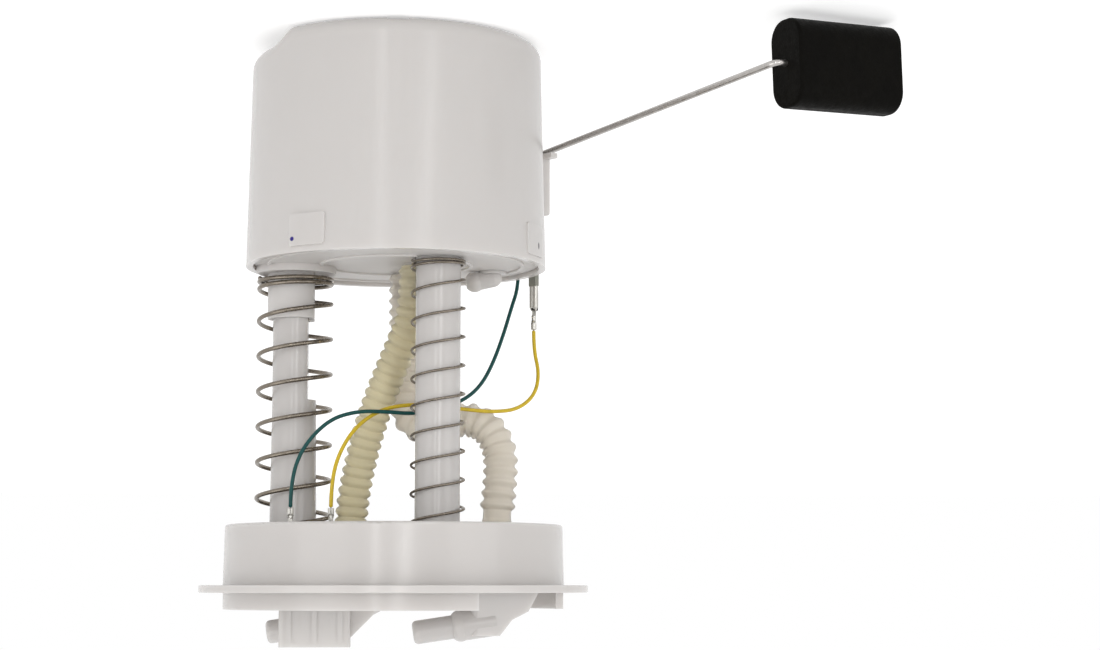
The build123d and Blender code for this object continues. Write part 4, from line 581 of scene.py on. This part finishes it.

# %% [markdown]
# ### Moulded plastics
# Flange, pot and columns are moulded in natural acetal, a milky white plastic with a soft gloss. Light goes a
# few millimetres into it. A plain white would look like chalk, so subsurface scattering lets the light in. The
# tone drifts very slightly along the mould's draw, and the skin is polished but for a faint, wide unevenness.
# The lid is duller than the rest. The white is also set lighter or darker piece by piece, lightest on the lid
# and darkest on the columns, so these pieces are lit and shaded copies of one plastic: painted light and
# shade. The same recipe with other numbers makes the darker plastics, which show more of their grain.

# %% Mould the plastics
WHITE = (0.63, 0.605, 0.587)
SCATTER_WEIGHT = 0.6
SCATTER_COLOURS = (1.0, 0.95, 0.90)
DRIFT_SCALE, GLOSS_SCALE = 14, 18


def moulded(name, colour, roughness=0.3, depth=0.0, cloud=0.03, grain=0.01 * MM, size=900, **values):
    """Moulded plastic: colour and gloss drift a little, and a fine grain roughens it.

    depth is how far light goes in, grain how deep the relief is, and size the scale of the relief's noise.
    """
    material, tree, shader = finish(name, colour, roughness, **values)
    flow = noise(tree, place(tree, (1, 1, 0.4)), DRIFT_SCALE, detail=2)
    colours = tint(tree, flow, shade(colour, 1 - cloud), shade(colour, 1 + cloud))
    tree.links.new(colours, shader.inputs["Base Color"])
    gloss = noise(tree, place(tree), GLOSS_SCALE, detail=1, low=roughness * 0.94, high=roughness * 1.06)
    tree.links.new(gloss, shader.inputs["Roughness"])
    bump(tree, shader, noise(tree, place(tree), size, detail=1), grain)
    if depth > 0:
        shader.inputs["Subsurface Weight"].default_value = SCATTER_WEIGHT
        shader.inputs["Subsurface Radius"].default_value = SCATTER_COLOURS
        shader.inputs["Subsurface Scale"].default_value = depth
    return material


polished = dict(cloud=0.006, grain=0.001 * MM, size=120)
# Painted light and shade: the factors on WHITE make the flange, pot, columns and lid lighter or darker copies of
# one plastic.
mouldings = {
    "flange_white": dict(colour=shade(WHITE, 0.885), roughness=0.20, depth=5 * MM, **polished),
    "pot_white": dict(colour=shade(WHITE, 0.93), roughness=0.22, depth=5 * MM, Specular_IOR_Level=0.3,
                      **polished),
    "column_white": dict(colour=shade(WHITE, 0.87), roughness=0.18, depth=4 * MM, **polished),
    "lid_white": dict(colour=WHITE, roughness=0.5, depth=4 * MM, cloud=0.01, grain=0.002 * MM, size=200),
    "grey_plastic": dict(colour=(0.235, 0.235, 0.20), roughness=0.35, depth=1 * MM),
    "nylon": dict(colour=(0.60, 0.58, 0.52), roughness=0.4, depth=2 * MM, cloud=0.05),
    "black_plastic": dict(colour=(0.014, 0.014, 0.014), roughness=0.38, cloud=0.12, grain=0.02 * MM),
    "rubber": dict(colour=(0.022, 0.022, 0.022), roughness=0.62, cloud=0.2, grain=0.03 * MM),
    "carbon": dict(colour=(0.045, 0.045, 0.047), roughness=0.55, cloud=0.25, grain=0.04 * MM),
}
materials = {name: moulded(name, **recipe) for name, recipe in mouldings.items()}
print(len(materials), "moulded finishes")

# %% [markdown]
# Two stray marks on the pot, near its rim, come from handling: a dot of blue ink and a short dark scratch. They
# have no thickness, so they are colour and not new pieces. Each covers what lies within an ellipsoid round one
# place: once the coordinates are measured from that place and divided by the ellipsoid's half widths, that is
# everything nearer than about one.

# %% Mark the pot
SPOT_EDGE = (0.75, 1.1)
INK_DOT = ((0.0338, -0.0379, -0.1114), (0.0007, 0.003, 0.0008), (0.03, 0.02, 0.20))
SCRATCH = ((-0.0474, -0.0183, -0.1126), (0.0003, 0.003, 0.0013), (0.10, 0.09, 0.10))


def spot(material, where, half_widths, colour):
    """Cover what lies within an ellipsoid round a place with another colour."""
    tree = material.node_tree
    shader = tree.nodes["Principled BSDF"]
    mapping = tree.nodes.new("ShaderNodeMapping")
    mapping.inputs["Location"].default_value = [-along / half for along, half in zip(where, half_widths)]
    mapping.inputs["Scale"].default_value = [1 / half for half in half_widths]
    tree.links.new(tree.nodes.new("ShaderNodeTexCoord").outputs["Object"], mapping.inputs["Vector"])
    reach = tree.nodes.new("ShaderNodeVectorMath")
    reach.operation = "LENGTH"
    tree.links.new(mapping.outputs["Vector"], reach.inputs[0])
    edge = tree.nodes.new("ShaderNodeMapRange")
    edge.inputs["From Min"].default_value, edge.inputs["From Max"].default_value = SPOT_EDGE
    tree.links.new(reach.outputs["Value"], edge.inputs["Value"])
    under = shader.inputs["Base Color"].links[0].from_socket
    tree.links.new(tint(tree, edge.outputs["Result"], colour, under), shader.inputs["Base Color"])


for where, half_widths, colour in (INK_DOT, SCRATCH):
    spot(materials["pot_white"], where, half_widths, colour)
    print("mark on the pot at", in_mm(where), "mm")

# %% [markdown]
# ### Hose plastics
# The hoses are softer and clearer than the mouldings, and a good part of the light goes right through their
# thin walls. Scattering inside such a wall would lose most of that light, so transmission carries it, with an
# index of refraction low enough that it hardly bends. A plain colour would then leave the valleys too dark,
# because their sides shade each other. So the colour follows the corrugation: the number stored on each ring
# picks between a paler tone in the valleys and a deeper one on the crests.

# %% Colour the hoses
HOSE_ROUGHNESS = 0.40


def hose_plastic(name, valley, crest):
    """Clouded soft plastic whose tone follows the stored crest number."""
    material, tree, shader = finish(name, crest, HOSE_ROUGHNESS, Transmission_Weight=0.7, IOR=1.2)
    stored = tree.nodes.new("ShaderNodeAttribute")
    stored.attribute_name = "crest"
    tone = tint(tree, stored.outputs["Fac"], valley, crest)
    cloud = noise(tree, place(tree), 90, detail=2)
    tree.links.new(tint(tree, cloud, tone, crest), shader.inputs["Base Color"])
    gloss = noise(tree, place(tree), 200, low=HOSE_ROUGHNESS * 0.85, high=HOSE_ROUGHNESS * 1.15)
    tree.links.new(gloss, shader.inputs["Roughness"])
    bump(tree, shader, noise(tree, place(tree), 500, detail=2), 0.01 * MM)
    return material


materials["hose_clear"] = hose_plastic("hose_clear", valley=(0.96, 0.92, 0.85), crest=(0.86, 0.82, 0.75))
materials["hose_cream"] = hose_plastic("hose_cream", valley=(0.95, 0.90, 0.72), crest=(0.84, 0.79, 0.62))
print("two hose finishes, one clear and one cream")

# %% [markdown]
# ### Wire insulation
# The insulation is thin vinyl, dark green and mustard yellow, and nearly smooth. Handling leaves long faint
# scuffs. On object coordinates they would cross the bends, so the noise lies on the wire's own UV map and is
# stretched along it.

# %% Colour the wires


def insulation(name, colour):
    """Vinyl with faint scuffs along the wire, from a noise stretched along its UV map."""
    material, tree, shader = finish(name, colour, 0.36, Specular_IOR_Level=0.25)
    scuff = noise(tree, place(tree, (9, 60, 1), source="UV"), 1, detail=3)
    tree.links.new(tint(tree, scuff, shade(colour, 0.86), shade(colour, 1.16)), shader.inputs["Base Color"])
    tree.links.new(noise(tree, place(tree), 900, low=0.28, high=0.46), shader.inputs["Roughness"])
    bump(tree, shader, noise(tree, place(tree), 1800, detail=2), 0.02 * MM)
    return material


materials["wire_green"] = insulation("wire_green", (0.006, 0.066, 0.062))
materials["wire_yellow"] = insulation("wire_yellow", (0.60, 0.43, 0.028))
print("two wire finishes, green and yellow")

# %% [markdown]
# ### Metals
# Drawn wire, pressed strip and cast parts differ in colour and in the marks of their making. A metal with one
# colour and one gloss looks like plastic, so one noise sets colour, gloss and relief together. Drawing leaves
# lines along the spring wire, which follow its UV map, and rolling or casting leaves a finer, even grain.

# %% Finish the metals


def metal(name, colour, roughness, stretch=(1, 1, 1), source="Object", scale=900, spread=0.18, depth=0.01 * MM):
    """Bare metal: lines or grain from one stretched noise set its colour, gloss and relief."""
    material, tree, shader = finish(name, colour, roughness, Metallic=1.0)
    marks = noise(tree, place(tree, stretch, source), scale, detail=4)
    colours = tint(tree, marks, shade(colour, 1 - spread), shade(colour, 1 + spread))
    tree.links.new(colours, shader.inputs["Base Color"])
    broad = place(tree, stretch, source)
    gloss = noise(tree, broad, scale * 0.5, low=roughness * 0.75, high=roughness * 1.3)
    tree.links.new(gloss, shader.inputs["Roughness"])
    bump(tree, shader, marks, depth)
    return material


metals = {
    "spring_steel": dict(colour=(0.225, 0.195, 0.16), roughness=0.26, stretch=(22, 900, 1), source="UV",
                         scale=1, spread=0.2),
    "arm_steel": dict(colour=(0.50, 0.48, 0.46), roughness=0.26, scale=500, spread=0.08, depth=0.003 * MM),
    "tinned": dict(colour=(0.56, 0.545, 0.51), roughness=0.34, scale=260, spread=0.06, depth=0.004 * MM),
    "steel": dict(colour=(0.50, 0.50, 0.49), roughness=0.30, stretch=(1, 1, 6), scale=700),
    "aluminium": dict(colour=(0.68, 0.68, 0.67), roughness=0.42, scale=2200, depth=0.03 * MM),
    "copper": dict(colour=(0.60, 0.30, 0.14), roughness=0.32, stretch=(1, 1, 4), scale=900),
    "magnet": dict(colour=(0.10, 0.10, 0.11), roughness=0.55, scale=2600, depth=0.03 * MM),
    "core": dict(colour=(0.26, 0.22, 0.18), roughness=0.45, stretch=(1, 1, 14), scale=500, depth=0.05 * MM),
}
materials.update({name: metal(name, **recipe) for name, recipe in metals.items()})
print(len(metals), "metal finishes")

# %% [markdown]
# ### Foam, card and mesh
# The float is closed-cell foam rubber with a fine skin of tiny pores, which Voronoi cells give more truly than
# noise. It is almost black and hardly shines. The sender's card is pale ceramic with printed resistor bars,
# drawn by a wave across the card. The inlet strainer is woven mesh, and two crossed waves stand for its
# threads, because real threads so fine would take millions of faces.

# %% Finish the foam, the card and the mesh
CELL_SCALE = 1500


def foam(name, colour):
    """Black closed-cell foam: a soft sheen over small pores."""
    material, tree, shader = finish(name, colour, 0.6, Specular_IOR_Level=0.05)
    cells = tree.nodes.new("ShaderNodeTexVoronoi")
    cells.inputs["Scale"].default_value = CELL_SCALE
    tree.links.new(place(tree), cells.inputs["Vector"])
    patches = noise(tree, place(tree), 130, detail=5)
    tree.links.new(tint(tree, patches, shade(colour, 0.75), shade(colour, 1.5)), shader.inputs["Base Color"])
    tree.links.new(noise(tree, place(tree), 600, low=0.46, high=0.64), shader.inputs["Roughness"])
    bump(tree, shader, cells.outputs["Distance"], 0.08 * MM, strength=0.6)
    return material


def barred(name, base, stripe, turn, scale, bands):
    """A base colour with stripes of a second colour, from one wave or two crossed waves."""
    material, tree, shader = finish(name, base, 0.45)
    where = place(tree)
    where.node.inputs["Rotation"].default_value = (0, 0, turn)
    waves = []
    for direction in bands:
        wave = tree.nodes.new("ShaderNodeTexWave")
        wave.bands_direction = direction
        wave.inputs["Scale"].default_value = scale
        tree.links.new(where, wave.inputs["Vector"])
        waves.append(wave.outputs["Fac"])
    height = waves[0]
    if len(waves) > 1:
        crossed = tree.nodes.new("ShaderNodeMath")
        crossed.operation = "MAXIMUM"
        tree.links.new(waves[0], crossed.inputs[0])
        tree.links.new(waves[1], crossed.inputs[1])
        height = crossed.outputs["Value"]
    tree.links.new(tint(tree, height, base, stripe), shader.inputs["Base Color"])
    bump(tree, shader, height, 0.04 * MM)
    return material


sender_turn = -math.atan2(sender_wide[1], sender_wide[0])
materials["float_black"] = foam("float_black", (0.0021, 0.0018, 0.0012))
materials["ceramic"] = barred("ceramic", base=(0.62, 0.60, 0.55), stripe=(0.07, 0.06, 0.06),
                              turn=sender_turn, scale=230, bands=("X",))
materials["mesh"] = barred("mesh", base=(0.20, 0.20, 0.17), stripe=(0.60, 0.59, 0.53),
                           turn=0.0, scale=900, bands=("X", "Y"))
print(len(materials), "finishes in all")

# %% [markdown]
# ## Dressing the pieces
# Each solid node names its material slot in the imported record, and each new piece was given one above. So the
# finishes are given out by name, and no list of pieces has to be kept here. Only the lid and its elbow differ
# from the record: they share the pot's plastic, but their skin is duller and their white is painted lighter.

# %% Give every piece its finish
slot_of = {part["node"]: part["material_slot"] for part in frame["record"]["subparts"]}
slot_of.update({"pot_lid": "lid_white", "breather_elbow": "lid_white"})
for node, piece in frame["nodes"].items():
    for index in range(len(piece.material_slots)):
        piece.material_slots[index].material = materials[slot_of[node]]
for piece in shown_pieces():
    if "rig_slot" in piece:
        piece.data.materials.append(materials[piece["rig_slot"]])

# %% [markdown]
# ## Floor and light
# The module stands in a plain pale studio, on a floor that lies under the pot's foot. Strong lamps would bleach
# its pale plastics, so the world gives most of the light, evenly. Two tall strips behind the camera draw soft
# upright streaks on the drum and the pot, and two broad panels model their sides. The background is white for
# the camera, in reflections and through clear pieces, and a little dimmer as a light. The light path tells
# these rays apart. The strips reach below the floor, so it is left out of reflections and holds back no light.
# It still catches the object's shadow.

# %% Lay the floor
FLOOR_SIZE = 8.0
FLOOR_GAP = 0.2 * MM
FLOOR_GREY = 0.80
FLOOR_GLOW = 0.42


def white_rays(tree):
    """1 for rays from the camera, in reflections and through clear pieces, and 0 for light on the object."""
    path = tree.nodes.new("ShaderNodeLightPath")
    seen = path.outputs["Is Camera Ray"]
    for ray in ("Is Glossy Ray", "Is Transmission Ray"):
        either = tree.nodes.new("ShaderNodeMath")
        either.operation = "MAXIMUM"
        tree.links.new(seen, either.inputs[0])
        tree.links.new(path.outputs[ray], either.inputs[1])
        seen = either.outputs["Value"]
    return seen


bpy.ops.mesh.primitive_plane_add(size=FLOOR_SIZE, location=(0, 0, solid_low[2] - FLOOR_GAP))
floor = bpy.context.object
floor.name = "floor"
floor.visible_glossy = False
floor.visible_shadow = False

floor_material, tree, shader = finish("floor", (FLOOR_GREY, FLOOR_GREY, FLOOR_GREY), 0.6)
tree.links.new(noise(tree, place(tree), 3, low=0.55, high=0.65), shader.inputs["Roughness"])
shader.inputs["Emission Color"].default_value = (1, 1, 1, 1)
lit = tree.nodes.new("ShaderNodeMath")
lit.operation = "MULTIPLY"
lit.inputs[1].default_value = FLOOR_GLOW
tree.links.new(white_rays(tree), lit.inputs[0])
tree.links.new(lit.outputs["Value"], shader.inputs["Emission Strength"])
floor.data.materials.append(floor_material)
print("floor at", in_mm(floor.location), "mm")

# %% Light the studio
AMBIENT = 0.90
STRIP_LEAN = -50.0
WORK_MIDDLE = (0, 0, -0.09)
STREAK_MIDDLE = (0, 0, -0.1)

world = bpy.data.worlds.new("studio")
bpy.context.scene.world = world
world.use_nodes = True
tree = world.node_tree
background = tree.nodes["Background"]
tree.links.new(tint(tree, white_rays(tree), (AMBIENT, AMBIENT, AMBIENT), (1.0, 1.0, 1.0)),
               background.inputs["Color"])
background.inputs["Strength"].default_value = 1.0


def area_light(name, location, target, width, height, watts, lean=0.0):
    """A rectangular soft light at a place, aimed at a point and turned about its own axis by lean degrees."""
    data = bpy.data.lights.new(name, "AREA")
    data.shape = "RECTANGLE"
    data.size = width
    data.size_y = height
    data.energy = watts
    light = bpy.data.objects.new(name, data)
    light.location = location
    light.rotation_mode = "QUATERNION"
    aim = (Vector(target) - Vector(location)).to_track_quat("-Z", "Y")
    light.rotation_quaternion = aim @ Quaternion((0, 0, 1), math.radians(lean))
    scene_collection.objects.link(light)
    print(name, watts, "W at", in_mm(location), "mm")


area_light("strip_left", (0.31, -1.45, -0.25), STREAK_MIDDLE, width=0.05, height=1.1, watts=1.8)
area_light("strip_right", (-0.36, -1.45, -0.26), STREAK_MIDDLE, width=0.06, height=1.1, watts=2.2,
           lean=STRIP_LEAN)
area_light("key", (1.0, -0.9, 0.3), WORK_MIDDLE, width=0.9, height=0.9, watts=3.0)
area_light("fill", (-1.1, -0.8, 0.2), WORK_MIDDLE, width=0.9, height=0.9, watts=2.6)

bpy.context.scene.view_settings.view_transform = "Standard"
